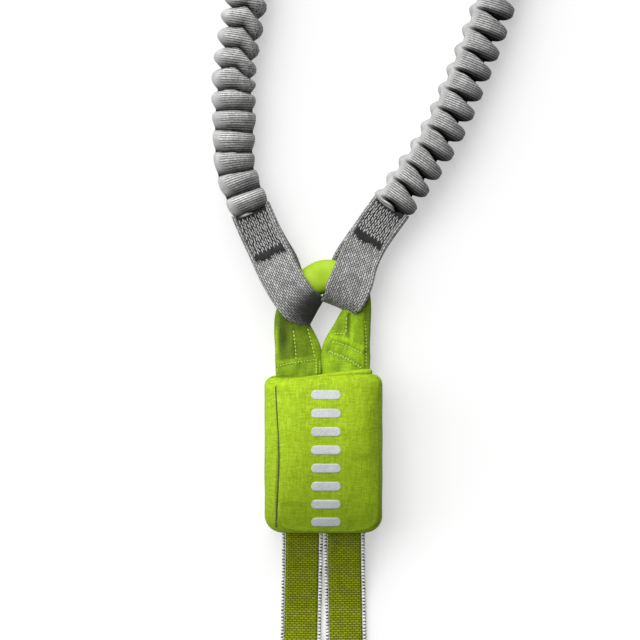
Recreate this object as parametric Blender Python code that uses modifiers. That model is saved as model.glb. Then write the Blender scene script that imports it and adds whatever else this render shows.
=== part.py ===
"""A via ferrata lanyard.

A sewn pouch holds the folded tear webbing that brakes a fall. A flat webbing loop leaves its lower end
for the harness, and a load loop in fabric covers leaves its upper end. Two arms of gathered tubular
webbing over an elastic core hang on the load loop, and each ends in a connector with a palm lever.

Lengths are in metres and +Z is up. The pouch lies on its back, and the middle of that back is the origin.
The harness loop points to -Y and the arms to +Y.
"""

import math

import bmesh
import bpy
from mathutils import Matrix, Vector

MM = 0.001
SIDE_X = Vector((1, 0, 0))
UP_Z = Vector((0, 0, 1))
HALF_TURN = 180  # degrees

# Clearances shared by all pieces
GAP = 0.35 * MM  # between two pieces that touch
CUT_OVERRUN = 2 * MM  # how far a cutter runs past what it cuts
WELD = 0.01 * MM  # points nearer than this are one

# Pouch
POUCH_WIDTH = 61 * MM
POUCH_LENGTH = 82 * MM
POUCH_DEPTH = 38 * MM
POUCH_WALL = 1.2 * MM
POUCH_BOTTOM_CORNER = 9.5 * MM
POUCH_TOP_CORNER = 5.5 * MM
FRONT_RISE = 5 * MM  # how far the front panel stands above its side seams
FRONT_SQUARENESS = 2.8
BACK_SQUARENESS = 5.0
BACK_FLATTENING = 0.6 * MM  # how much of the round back is pressed flat
POUCH_RING_SIDES = 28
CORNER_STEPS = 3

# Tear webbing, folded to and fro on edge
TEAR_THICKNESS = 3.4 * MM  # two webbings ripped apart by a fall
TEAR_WIDTH = 24 * MM
TEAR_END_ROOM = 19.5 * MM  # from each end of the pouch to the folds
TEAR_RUNS = 9
TEAR_RUN_GAP = 0.8 * MM
FOLD_STEPS = 4
BAND_WIDTH = 5 * MM
BAND_THICKNESS = 1.0 * MM
BAND_OFFSET = 12 * MM  # each rubber band's distance from the pack's middle

# Load loop, its covers and its stitching
LOAD_LOOP_REACH = 53.8 * MM  # from the pouch's upper end to the middle of the apex
LOAD_END_DEPTH = 14 * MM  # from the pouch's upper end down to the ends of the legs
LOAD_LOOP_HALF_SPREAD = 18 * MM
LOAD_LOOP_REST_HEIGHT = 10.4 * MM  # its apex's height as it lies
LOAD_MOUTH_HEIGHT = 18.6 * MM  # its height where it leaves the pouch
LOAD_WEBBING_WIDTH = 17 * MM
LOAD_WEBBING_THICKNESS = 3.2 * MM
LEG_WIDTH = 24.8 * MM
LEG_THICKNESS = 9.4 * MM
APEX_THICKNESS = 14.4 * MM
COVER_WALL = 1.3 * MM
COVER_SQUARENESS = 2.4
COVER_SIDES = 14
COVER_STEPS = 2  # cross-sections from one point of the route to the next
APEX_GUARD_WALL = 1.8 * MM
BARTACK_LENGTH = 3 * MM
BARTACK_THICKNESS = 5 * MM

# Tie-in loop
TIE_IN_REACH = 131 * MM  # from the pouch's lower end to the middle of the bight
TIE_IN_HALF_SPREAD = 12 * MM  # from the part's middle to the middle of a strand
TIE_IN_MOUTH_HEIGHT = 14 * MM
TIE_IN_WIDTH = 20.5 * MM
TIE_IN_THICKNESS = 2.4 * MM
TIE_IN_STEPS = 2

# Arms
SLEEVE_RADIUS = 11.8 * MM
SLEEVE_WAIST_RADIUS = 9.6 * MM  # between two gathers
GATHER_PITCH = 11 * MM
CORE_RADIUS = 4.6 * MM
CORE_SETBACK = 1.5 * MM
ARM_HEIGHT = 12.2 * MM
ROUTE_STEPS = 6
ARM_WEBBING_WIDTH = 21.5 * MM
ARM_WEBBING_THICKNESS = 1.4 * MM
STITCHED_THICKNESS = 1.9 * MM  # one layer with its rows of thread
STITCHED_LENGTH = 24 * MM
LOOP_STEPS = 2
UPPER_STRAIGHT = 25 * MM  # each arm's last stretch, which runs straight up to its upper loop
UPPER_LOOP_REACH = 57 * MM  # from the sleeve's end to the inner side of the connector's bar

# Keeper, a rubber ring that holds the upper loop in line
KEEPER_WALL = 1.6 * MM
KEEPER_LENGTH = 6.5 * MM

# Connector frame. Its own X runs across it, towards the gate, and its own Y from the sling seat to the basket.
FRAME_THICKNESS = 11 * MM
FRAME_HALF_WIDTH = 5.6 * MM
FRAME_BEVEL = 1.6 * MM
BAR_HALF_WIDTH = 6.5 * MM
BAR_Y = -42.5 * MM
SPINE_X = -25 * MM
BASKET_Y = 59 * MM
GATE_SIDE_X = 32.5 * MM
BASKET_RADIUS = 25 * MM
SPINE_FOOT_RADIUS = 10 * MM
NOSE_X = 29.4 * MM
NOSE_Y = 26 * MM
NOSE_HALF_WIDTH = 4.6 * MM
POCKET_DEPTH = 2.2 * MM
POCKET_HALF_WIDTH = 2.9 * MM
SEAT_THICKNESS = 7 * MM  # the bar's thickness where the sling lies

# Gate
GATE_PIVOT_X = 19 * MM
GATE_PIVOT_Y = -40 * MM
GATE_THICKNESS = 8.8 * MM
GATE_HALF_WIDTH = 4.1 * MM
GATE_BOSS_RADIUS = 5.2 * MM
GATE_TONGUE_THICKNESS = 4.4 * MM
GATE_HEEL_REACH = 8.6 * MM
GATE_HEEL_DROP = 2 * MM  # from the pivot down to the heel's face
GATE_BEVEL = 1.2 * MM
RIVET_RADIUS = 2.4 * MM
NOSE_TONGUE_THICKNESS = 3.4 * MM
NOSE_TONGUE_LENGTH = 6.5 * MM

# Palm lever
LEVER_PIVOT_X = -22 * MM
LEVER_PIVOT_Y = -42 * MM
LEVER_PLATE_THICKNESS = 3 * MM
LEVER_BOSS_RADIUS = 4.4 * MM
LEVER_ARM_HEIGHT = 3 * MM
LEVER_TIP_OVERLAP = 2.1 * MM  # how far the lever's tip reaches under the gate's heel
LEVER_TRAVEL = 7  # degrees
PALM_THICKNESS = 9.6 * MM
PALM_HALF_WIDTH = 2.7 * MM
PALM_TOP_Y = 21 * MM
PALM_FOOT_Y = -30 * MM
PALM_CLEARANCE = 1.9 * MM  # between the palm plate's foot and the spine
PALM_BEVEL = 1.0 * MM
GRIP_GROOVES = 5
GRIP_GROOVE_RADIUS = 1.3 * MM
LEVER_PIN_RADIUS = 2 * MM

ROUND_SIDES = 20  # sides of a pin or a round boss

# The two arms' routes in plan, from the stitched lower end to where the last straight stretch starts, read
# smoothly through these points. Their Y, like the lower loops', is measured from the middle of the load
# loop's apex.
LEFT_ROUTE = [
    (-37.4 * MM, 31.2 * MM),
    (-42.1 * MM, 42.6 * MM),
    (-46.2 * MM, 54.2 * MM),
    (-47.2 * MM, 66.2 * MM),
    (-47 * MM, 78.2 * MM),
    (-47.3 * MM, 90.2 * MM),
    (-47.3 * MM, 102.2 * MM),
    (-45.8 * MM, 115.2 * MM),
    (-43.4 * MM, 129.2 * MM),
    (-41.2 * MM, 143.2 * MM),
    (-39 * MM, 167.2 * MM),
    (-38.6 * MM, 197.2 * MM),
    (-41 * MM, 227.2 * MM),
    (-45.5 * MM, 259.2 * MM),
    (-50 * MM, 293.2 * MM),
    (-53 * MM, 327.2 * MM),
    (-54 * MM, 361.2 * MM),
    (-53 * MM, 393.2 * MM),
    (-52 * MM, 420.2 * MM),
]
RIGHT_ROUTE = [
    (34.8 * MM, 33.7 * MM),
    (41.6 * MM, 43.4 * MM),
    (48.6 * MM, 53.1 * MM),
    (55.4 * MM, 63 * MM),
    (61.5 * MM, 73.3 * MM),
    (66.9 * MM, 83.9 * MM),
    (71.8 * MM, 95.6 * MM),
    (76.7 * MM, 107.1 * MM),
    (81.5 * MM, 119 * MM),
    (85.9 * MM, 131 * MM),
    (90.1 * MM, 143.9 * MM),
    (96.3 * MM, 167.7 * MM),
    (100.5 * MM, 195.5 * MM),
    (101.4 * MM, 225.3 * MM),
    (99.4 * MM, 255.2 * MM),
    (95.3 * MM, 287.2 * MM),
    (90.7 * MM, 319.2 * MM),
    (87.4 * MM, 351.2 * MM),
    (85.6 * MM, 383.2 * MM),
    (85 * MM, 408.2 * MM),
]

# Each lower loop's front layer: a point of its middle line in plan and the turn of its width from +X in
# degrees. The back layer returns under the same line.
LEFT_LOOP = [
    (-37.4 * MM, 31.2 * MM, 24),
    (-33.3 * MM, 21.8 * MM, 25),
    (-29.4 * MM, 13.4 * MM, 26),
    (-25.6 * MM, 5.2 * MM, 26),
    (-21.9 * MM, -2.2 * MM, 26),
    (-16.9 * MM, -10.5 * MM, 27),
    (-12.7 * MM, -15.8 * MM, 33),
    (-8.6 * MM, -18.3 * MM, 48),
    (-4.6 * MM, -20 * MM, 60),
    (-4.4 * MM, -20.6 * MM, 61),
]
RIGHT_LOOP = [
    (34.8 * MM, 33.7 * MM, -36),
    (27.2 * MM, 23.2 * MM, -35),
    (21.8 * MM, 14.4 * MM, -31),
    (17.9 * MM, 5.3 * MM, -25),
    (14.4 * MM, -3.5 * MM, -21),
    (11.6 * MM, -9.9 * MM, -18),
    (8.4 * MM, -13.6 * MM, -19),
    (5.6 * MM, -15.6 * MM, -21),
    (4.7 * MM, -16.3 * MM, -21),
]
# At each of those points, as shares: how far the two layers' middle has sunk from the arm's height to the
# load loop's, how far they have opened from the stitched arm's spacing to the load loop's thickness, and
# their width of the arm webbing's. The last is the fold, where the layers are one.
LEFT_LOOP_SHARES = [
    (0, 0, 1),
    (0, 0, 1),
    (0.2, 0.08, 1),
    (0.5, 0.4, 1),
    (0.9, 0.8, 1),
    (1, 0.97, 1),
    (1, 0.93, 0.97),
    (1, 0.84, 0.84),
    (1, 0.38, 0.71),
    (1, 0, 0.7),
]
RIGHT_LOOP_SHARES = [
    (0, 0, 1),
    (0, 0, 1),
    (0.2, 0.08, 1),
    (0.6, 0.56, 1),
    (1, 0.98, 1),
    (1, 1.01, 0.96),
    (1, 0.95, 0.76),
    (1, 0.46, 0.48),
    (1, 0, 0.44),
]

# The load loop's route, from the left leg's end in the pouch round to the right leg's, as shares of its
# half spread, of its reach beyond the pouch and of its rise from where it lies to the pouch's mouth. Then
# come the cover's width as a share of a leg's, and the share by which a leg's thickness has grown to the apex's.
LOAD_ROUTE_SHARES = [
    (-0.8, -LOAD_END_DEPTH / LOAD_LOOP_REACH, 1, 0.97, 0),
    (-0.8, 0, 1, 0.98, 0),
    (-0.82, 0.24, 0.61, 0.95, 0.1),
    (-0.98, 0.446, 0.2, 0.7, 0.25),
    (-0.97, 0.613, 0, 0.59, 0.4),
    (-0.69, 0.792, 0, 0.61, 0.75),
    (-0.33, 0.937, 0, 0.6, 0.95),
    (0.06, 1, 0, 0.59, 1),
    (0.49, 0.967, 0, 0.6, 0.95),
    (0.9, 0.855, 0, 0.59, 0.75),
    (1.07, 0.68, 0, 0.57, 0.45),
    (0.91, 0.465, 0.18, 0.8, 0.25),
    (0.74, 0.24, 0.61, 0.99, 0.1),
    (0.71, 0, 1, 1, 0),
    (0.71, -LOAD_END_DEPTH / LOAD_LOOP_REACH, 1, 1, 0),
]
APEX_START = 5  # the points of that route where the apex guard starts and ends
APEX_END = 9

# The tie-in loop's left strand, from its end in the pouch to the bight, as shares of its half spread, of its
# reach beyond the pouch and of its height at the pouch's mouth. Then comes its turn from flat, 0, to upright,
# 90 degrees. Where the height is 0 it lies on the ground.
TIE_IN_ROUTE_SHARES = [
    (0.917, -0.09, 1.18, 0),
    (0.917, 0, 1, 0),
    (0.933, 0.13, 0.54, 0),
    (0.967, 0.267, 0.2, 0),
    (1, 0.412, 0, 0),
    (1.017, 0.527, 0, 18),
    (1, 0.626, 0, 52),
    (0.967, 0.725, 0, 80),
    (0.917, 0.817, 0, 90),
    (0.917, 0.908, 0, 90),
    (0.833, 0.957, 0, 90),
    (0.583, 0.99, 0, 90),
    (0.25, 1, 0, 90),
]

# Places that follow from the sizes above
TEAR_RUN = POUCH_LENGTH - 2 * TEAR_END_ROOM
APEX_Y = POUCH_LENGTH / 2 + LOAD_LOOP_REACH
LEVER_TIP_X = GATE_PIVOT_X - GATE_HEEL_REACH + LEVER_TIP_OVERLAP
LEVER_TIP_TOP = GATE_PIVOT_Y - GATE_HEEL_DROP - GAP
SEAT_MIDDLE_X = (
    LEVER_PIVOT_X + LEVER_BOSS_RADIUS + GATE_PIVOT_X - GATE_HEEL_REACH
) / 2


def clear_scene():
    for scene_object in list(bpy.data.objects):
        bpy.data.objects.remove(scene_object, do_unlink=True)


def collection(name):
    made = bpy.data.collections.new(name)
    bpy.context.scene.collection.children.link(made)
    return made


def material(name, colour, roughness, metallic=0.0):
    made = bpy.data.materials.new(name)
    made.use_nodes = True
    shader = made.node_tree.nodes["Principled BSDF"]
    shader.inputs["Base Color"].default_value = (*colour, 1)
    shader.inputs["Roughness"].default_value = roughness
    shader.inputs["Metallic"].default_value = metallic
    return made


def add_piece(name, mesh, finish, smooth_angle=40):
    piece = bpy.data.objects.new(name, mesh)
    PIECES.objects.link(piece)
    mesh.materials.clear()
    mesh.materials.append(finish)
    mesh.shade_smooth()
    mesh.set_sharp_from_angle(angle=math.radians(smooth_angle))
    return piece


def add_cutter(name, mesh):
    cutter = bpy.data.objects.new(name, mesh)
    CUTTERS.objects.link(cutter)
    cutter.hide_render = True
    cutter.display_type = "WIRE"
    return cutter


def mesh_from(form, name):
    bmesh.ops.recalc_face_normals(form, faces=form.faces)
    mesh = bpy.data.meshes.new(name)
    form.to_mesh(mesh)
    form.free()
    return mesh


def box_mesh(name, low, high):
    """A box between two corners."""
    low, high = Vector(low), Vector(high)
    form = bmesh.new()
    bmesh.ops.create_cube(form, size=1)
    bmesh.ops.scale(form, vec=high - low, verts=form.verts)
    bmesh.ops.translate(form, vec=(low + high) / 2, verts=form.verts)
    return mesh_from(form, name)


def cylinder_mesh(name, centre, radius, length, sides=ROUND_SIDES):
    """An upright cylinder about its centre."""
    form = bmesh.new()
    bmesh.ops.create_cone(
        form, cap_ends=True, segments=sides, radius1=radius, radius2=radius, depth=length
    )
    bmesh.ops.translate(form, vec=centre, verts=form.verts)
    return mesh_from(form, name)


def subtract(piece, cutter):
    cut = piece.modifiers.new("Cut " + cutter.name, "BOOLEAN")
    cut.operation = "DIFFERENCE"
    cut.object = cutter


def unite(piece, other):
    """Joins a construction solid to a piece. The other solid is a guide that isn't built by itself."""
    join = piece.modifiers.new("Join " + other.name, "BOOLEAN")
    join.operation = "UNION"
    join.object = other


def thicken(piece, wall):
    """Gives an open surface a wall inwards of its faces."""
    shell = piece.modifiers.new("Wall", "SOLIDIFY")
    shell.thickness = wall
    shell.offset = -1
    shell.use_even_offset = True


def mesh_of_curve(curve_object, name):
    """Turns a curve object into a closed mesh in world space and removes the curve."""
    bpy.context.view_layer.update()
    evaluated = curve_object.evaluated_get(bpy.context.evaluated_depsgraph_get())
    mesh = bpy.data.meshes.new_from_object(evaluated)
    mesh.transform(curve_object.matrix_world)
    bpy.data.objects.remove(curve_object, do_unlink=True)
    form = bmesh.new()
    form.from_mesh(mesh)
    bpy.data.meshes.remove(mesh)
    bmesh.ops.remove_doubles(form, verts=form.verts, dist=WELD)
    return mesh_from(form, name)


def plate_mesh(name, outlines, thickness, middle_height=0.0):
    """A flat outline, with any holes as further outlines, drawn in plan and given a thickness."""
    curve = bpy.data.curves.new(name, "CURVE")
    curve.dimensions = "2D"
    curve.fill_mode = "BOTH"
    curve.extrude = thickness / 2
    for outline in outlines:
        spline = curve.splines.new("POLY")
        spline.points.add(len(outline) - 1)
        for point, (x, y) in zip(spline.points, outline):
            point.co = (x, y, 0, 1)
        spline.use_cyclic_u = True
    guide = bpy.data.objects.new(name, curve)
    CUTTERS.objects.link(guide)
    guide.location = (0, 0, middle_height)
    mesh = mesh_of_curve(guide, name)
    form = bmesh.new()
    form.from_mesh(mesh)
    bmesh.ops.dissolve_limit(
        form, angle_limit=math.radians(1), verts=form.verts, edges=form.edges
    )
    form.to_mesh(mesh)
    form.free()
    return mesh


def bevel_edges(piece, width, segments=2):
    bevel = piece.modifiers.new("Rounded edges", "BEVEL")
    bevel.width = width
    bevel.segments = segments
    bevel.limit_method = "ANGLE"
    bevel.angle_limit = math.radians(50)


def smooth_through(rows, per_span):
    """Reads a smooth curve through rows of numbers, with so many points from each row to the next."""
    made = []
    last = len(rows) - 1
    for i in range(last):
        before, start = rows[max(i - 1, 0)], rows[i]
        end, after = rows[i + 1], rows[min(i + 2, last)]
        for k in range(per_span):
            t = k / per_span
            made.append(
                tuple(
                    b + (c - a) * t / 2 + (a - 2.5 * b + 2 * c - d / 2) * t * t
                    + (1.5 * b - a / 2 - 1.5 * c + d / 2) * t * t * t
                    for a, b, c, d in zip(before, start, end, after)
                )
            )
    return made + [tuple(rows[last])]


def spaced_along(points, step):
    """Points an even step apart along a line, both ends kept."""
    lengths = [0.0]
    for a, b in zip(points, points[1:]):
        lengths.append(lengths[-1] + (b - a).length)
    count = max(2, round(lengths[-1] / step))
    made, j = [], 0
    for i in range(count + 1):
        wanted = lengths[-1] * i / count
        while j < len(points) - 2 and lengths[j + 1] < wanted:
            j += 1
        share = (wanted - lengths[j]) / (lengths[j + 1] - lengths[j])
        made.append(points[j].lerp(points[j + 1], share))
    return made


def tangents(points):
    """The direction of a line of points at each of them."""
    ends = [points[0]] + list(points) + [points[-1]]
    return [(ends[i + 2] - ends[i]).normalized() for i in range(len(points))]


def oval(half_width, half_thickness, squareness, sides):
    """Points round an oval, from an ellipse at a squareness of 2 to nearly a box at 6."""
    made = []
    for i in range(sides):
        turn = 2 * math.pi * (i + 0.5) / sides
        across, up = math.cos(turn), math.sin(turn)
        made.append(
            (
                half_width * math.copysign(abs(across) ** (2 / squareness), across),
                half_thickness * math.copysign(abs(up) ** (2 / squareness), up),
            )
        )
    return made


def rounded_box(half_width, half_thickness, radius, steps):
    """Points round a rectangle with rounded corners."""
    made = []
    for quarter, (x, y) in enumerate(((1, 1), (-1, 1), (-1, -1), (1, -1))):
        centre = (x * (half_width - radius), y * (half_thickness - radius))
        made += arc_points(centre, radius, 90 * quarter, 90 * quarter + 90, steps)
    return made


def strap_outline(half_width, half_thickness):
    """A webbing's cross-section: a thin rectangle with its corners taken off."""
    corner = half_thickness / 2
    return [
        (half_width, -corner),
        (half_width, corner),
        (half_width - corner, half_thickness),
        (corner - half_width, half_thickness),
        (-half_width, corner),
        (-half_width, -corner),
        (corner - half_width, -half_thickness),
        (half_width - corner, -half_thickness),
    ]


def loft_mesh(name, centres, widths, outlines, capped=True, directions=None):
    """Bridges cross-sections along a line. Each has its centre, the direction of its width and its outline."""
    form = bmesh.new()
    rings = []
    for centre, width, along, outline in zip(
        centres, widths, directions or tangents(centres), outlines
    ):
        width = (width - along * width.dot(along)).normalized()
        upward = along.cross(width)
        ring = [form.verts.new(centre + width * x + upward * y) for x, y in outline]
        edges = [form.edges.new((ring[i - 1], ring[i])) for i in range(len(ring))]
        rings.append((ring, edges))
    for (_, low), (_, high) in zip(rings, rings[1:]):
        bmesh.ops.bridge_loops(form, edges=low + high)
    if capped:
        form.faces.new(rings[0][0])
        form.faces.new(rings[-1][0])
    return mesh_from(form, name)


def width_at(turn_degrees, lift_degrees=0.0):
    """The direction of a strap's width, turned from +X in plan and lifted from flat."""
    turn, lift = math.radians(turn_degrees), math.radians(lift_degrees)
    return Vector(
        (math.cos(turn) * math.cos(lift), math.sin(turn) * math.cos(lift), math.sin(lift))
    )


def corner_inset(distance, radius):
    """How far a rounded corner draws a side in, at a distance before the end that it turns into."""
    inside = max(0.0, radius - distance)
    return radius - math.sqrt(max(0.0, radius * radius - inside * inside))


def pouch_stations():
    """Places along the pouch, from its lower to its upper end, and how far its sides are drawn in there."""
    half = POUCH_LENGTH / 2
    made = []
    for end, radius in ((-1, POUCH_BOTTOM_CORNER), (1, POUCH_TOP_CORNER)):
        for k in range(CORNER_STEPS + 1):
            turn = math.pi / 2 * k / CORNER_STEPS
            distance = radius * (1 - math.sin(turn))
            made.append((end * (half - distance), corner_inset(distance, radius)))
    return sorted(made)


def pouch_surface(cut_height, keep_front):
    """The pouch's outer surface above or below a height."""
    form = bmesh.new()
    rings = []
    middle = POUCH_DEPTH / 2
    for y, inset in pouch_stations():
        ring = []
        for i in range(POUCH_RING_SIDES):
            turn = 2 * math.pi * (i + 0.5) / POUCH_RING_SIDES
            across, up = math.cos(turn), math.sin(turn)
            squareness = FRONT_SQUARENESS if up > 0 else BACK_SQUARENESS
            reach = middle - inset if up > 0 else middle + BACK_FLATTENING - inset
            x = (POUCH_WIDTH / 2 - inset) * math.copysign(
                abs(across) ** (2 / squareness), across
            )
            z = middle + reach * math.copysign(abs(up) ** (2 / squareness), up)
            ring.append(form.verts.new((x, y, max(0.0, z))))
        edges = [form.edges.new((ring[i - 1], ring[i])) for i in range(len(ring))]
        rings.append((ring, edges))
    for (_, low), (_, high) in zip(rings, rings[1:]):
        bmesh.ops.bridge_loops(form, edges=low + high)
    form.faces.new(rings[0][0])
    form.faces.new(rings[-1][0])
    bmesh.ops.recalc_face_normals(form, faces=form.faces)
    bmesh.ops.bisect_plane(
        form,
        geom=form.verts[:] + form.edges[:] + form.faces[:],
        plane_co=UP_Z * cut_height,
        plane_no=UP_Z,
        clear_inner=keep_front,
        clear_outer=not keep_front,
    )
    mesh = bpy.data.meshes.new("pouch surface")
    form.to_mesh(mesh)
    form.free()
    return mesh


def build_pouch():
    """The sewn tub, its front panel and the closure between the panel's right edge and the tub."""
    seam = POUCH_DEPTH - FRONT_RISE
    half = POUCH_LENGTH / 2
    shell = add_piece("pouch_shell", pouch_surface(seam + POUCH_WALL, False), LIME_CLOTH)
    front = add_piece("pouch_front", pouch_surface(seam - POUCH_WALL, True), LIME_CLOTH)
    for piece, low, high in (
        (shell, seam - GAP / 2, POUCH_DEPTH),
        (front, seam - 3 * POUCH_WALL, seam + GAP / 2),
    ):
        thicken(piece, POUCH_WALL)
        trim = box_mesh("trim", (-POUCH_WIDTH, -POUCH_LENGTH, low), (POUCH_WIDTH, POUCH_LENGTH, high))
        subtract(piece, add_cutter("trim of the " + piece.name, trim))
    reach = POUCH_WALL + CUT_OVERRUN
    widest_share = max(abs(LOAD_ROUTE_SHARES[1][0]), abs(LOAD_ROUTE_SHARES[-2][0]))
    upper_half_width = widest_share * LOAD_LOOP_HALF_SPREAD + LEG_WIDTH / 2 + GAP
    upper_half_height = LEG_THICKNESS / 2 + 2 * GAP
    upper = LOAD_MOUTH_HEIGHT
    subtract(
        shell,
        add_cutter(
            "upper mouth",
            box_mesh(
                "upper mouth",
                (-upper_half_width, half - reach, upper - upper_half_height),
                (upper_half_width, half + CUT_OVERRUN, upper + upper_half_height),
            ),
        ),
    )
    lower_half_width = TIE_IN_HALF_SPREAD + TIE_IN_WIDTH / 2 + GAP
    lower_half_height = TIE_IN_THICKNESS / 2 + 2 * GAP
    lower = TIE_IN_MOUTH_HEIGHT
    subtract(
        shell,
        add_cutter(
            "lower mouth",
            box_mesh(
                "lower mouth",
                (-lower_half_width, -half - CUT_OVERRUN, lower - lower_half_height),
                (lower_half_width, reach - half, lower + lower_half_height),
            ),
        ),
    )


def build_tear_pack():
    """The tear webbing on edge, folded to and fro, and two rubber bands round it."""
    pitch = TEAR_THICKNESS + TEAR_RUN_GAP
    left = -pitch * (TEAR_RUNS - 1) / 2
    straight = TEAR_RUN / 2 - pitch / 2
    line = []
    for run in range(TEAR_RUNS):
        x = left + pitch * run
        heading = 1 if run % 2 == 0 else -1
        line.append(Vector((x, -heading * straight, 0)))
        line.append(Vector((x, heading * straight, 0)))
        if run < TEAR_RUNS - 1:
            for k in range(1, FOLD_STEPS):
                turn = math.pi * k / FOLD_STEPS
                across = pitch / 2 * (1 - math.cos(turn))
                beyond = heading * pitch / 2 * math.sin(turn)
                line.append(Vector((x + across, heading * straight + beyond, 0)))
    middle = POUCH_DEPTH / 2
    upright = [UP_Z] * len(line)
    outline = strap_outline(TEAR_WIDTH / 2, TEAR_THICKNESS / 2)
    raised = [point + UP_Z * middle for point in line]
    add_piece(
        "tear_webbing_pack",
        loft_mesh("tear webbing", raised, upright, [outline] * len(line)),
        TEAR_WEBBING,
    )
    half_width = -left + TEAR_THICKNESS / 2 + GAP + BAND_THICKNESS
    half_height = TEAR_WIDTH / 2 + GAP + BAND_THICKNESS
    for name, side in (("lower_pack_band", -1), ("upper_pack_band", 1)):
        centres = [
            Vector((0, side * BAND_OFFSET + edge * BAND_WIDTH / 2, middle))
            for edge in (-1, 1)
        ]
        ring = rounded_box(half_width, half_height, BAND_THICKNESS, 1)
        band = add_piece(
            name, loft_mesh(name, centres, [SIDE_X] * 2, [ring] * 2, False), BLACK_RUBBER
        )
        thicken(band, BAND_THICKNESS)


def build_load_loop():
    """The load-bearing webbing loop, the covers of its two legs and the smooth guard on its apex."""
    rise = LOAD_MOUTH_HEIGHT - LOAD_LOOP_REST_HEIGHT
    rows = smooth_through(LOAD_ROUTE_SHARES, COVER_STEPS)
    centres, outer = [], []
    for across, beyond, lift, width, growth in rows:
        x = across * LOAD_LOOP_HALF_SPREAD
        y = POUCH_LENGTH / 2 + beyond * LOAD_LOOP_REACH
        centres.append(Vector((x, y, LOAD_LOOP_REST_HEIGHT + lift * rise)))
        thickness = LEG_THICKNESS + growth * (APEX_THICKNESS - LEG_THICKNESS)
        outer.append((width * LEG_WIDTH / 2, thickness / 2))
    along = tangents(centres)
    widths = [Vector((heading.y, -heading.x, 0)).normalized() for heading in along]
    start, end = COVER_STEPS * APEX_START, COVER_STEPS * APEX_END
    inside = COVER_STEPS // 2
    spans = (
        ("load_loop_cover_left", inside, start, COVER_WALL, LIME_CLOTH),
        ("load_loop_apex_guard", start, end, APEX_GUARD_WALL, LIME_GUARD),
        ("load_loop_cover_right", end, len(rows) - 1 - inside, COVER_WALL, LIME_CLOTH),
    )
    for name, first, last, wall, finish in spans:
        line = centres[first : last + 1]
        line[0] = line[0].lerp(line[1], GAP / (line[1] - line[0]).length)
        line[-1] = line[-1].lerp(line[-2], GAP / (line[-2] - line[-1]).length)
        outlines = [
            oval(across, thick, COVER_SQUARENESS, COVER_SIDES)
            for across, thick in outer[first : last + 1]
        ]
        cover = add_piece(
            name,
            loft_mesh(
                name, line, widths[first : last + 1], outlines, False, along[first : last + 1]
            ),
            finish,
        )
        thicken(cover, wall)
    webbing = []
    for across, thick in outer:
        fold = APEX_GUARD_WALL + GAP
        half_width = min(LOAD_WEBBING_WIDTH / 2, across - 2 * fold)
        quarter = LOAD_WEBBING_WIDTH * LOAD_WEBBING_THICKNESS / 4
        half_thickness = min(quarter / half_width, thick - 1.3 * fold)
        webbing.append(oval(half_width, half_thickness, COVER_SQUARENESS, 8))
    add_piece(
        "load_loop_webbing",
        loft_mesh("load loop webbing", centres, widths, webbing),
        TEAR_WEBBING,
    )
    half_width = LOAD_WEBBING_WIDTH / 2
    top = centres[0].y - GAP
    height = centres[0].z
    add_piece(
        "load_loop_bartack",
        box_mesh(
            "load loop bartack",
            (centres[0].x - half_width, top - BARTACK_LENGTH, height - BARTACK_THICKNESS / 2),
            (centres[-1].x + half_width, top, height + BARTACK_THICKNESS / 2),
        ),
        WHITE_THREAD,
    )


def build_tie_in_loop():
    """The harness loop: two flat strands that turn on edge before the bight."""
    left = []
    for across, beyond, height, lift in smooth_through(TIE_IN_ROUTE_SHARES, TIE_IN_STEPS):
        turn = math.radians(lift)
        resting = (TIE_IN_WIDTH * math.sin(turn) + TIE_IN_THICKNESS * math.cos(turn)) / 2
        x = -across * TIE_IN_HALF_SPREAD
        y = -POUCH_LENGTH / 2 - beyond * TIE_IN_REACH
        left.append((x, y, max(height * TIE_IN_MOUTH_HEIGHT, resting + 2 * GAP), lift))
    right = [(-x, y, z, HALF_TURN - lift) for x, y, z, lift in reversed(left)]
    rows = left + right
    centres = [Vector(row[:3]) for row in rows]
    widths = [width_at(0, row[3]) for row in rows]
    outline = strap_outline(TIE_IN_WIDTH / 2, TIE_IN_THICKNESS / 2)
    add_piece(
        "tie_in_loop",
        loft_mesh("tie-in loop", centres, widths, [outline] * len(rows)),
        OLIVE_WEBBING,
    )
    x, y, z, _ = left[0]
    reach = abs(x) + TIE_IN_WIDTH / 2
    add_piece(
        "tie_in_bartack",
        box_mesh(
            "tie-in bartack",
            (-reach, y + GAP, z - BARTACK_THICKNESS / 2),
            (reach, y + GAP + BARTACK_LENGTH, z + BARTACK_THICKNESS / 2),
        ),
        WHITE_THREAD,
    )


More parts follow.
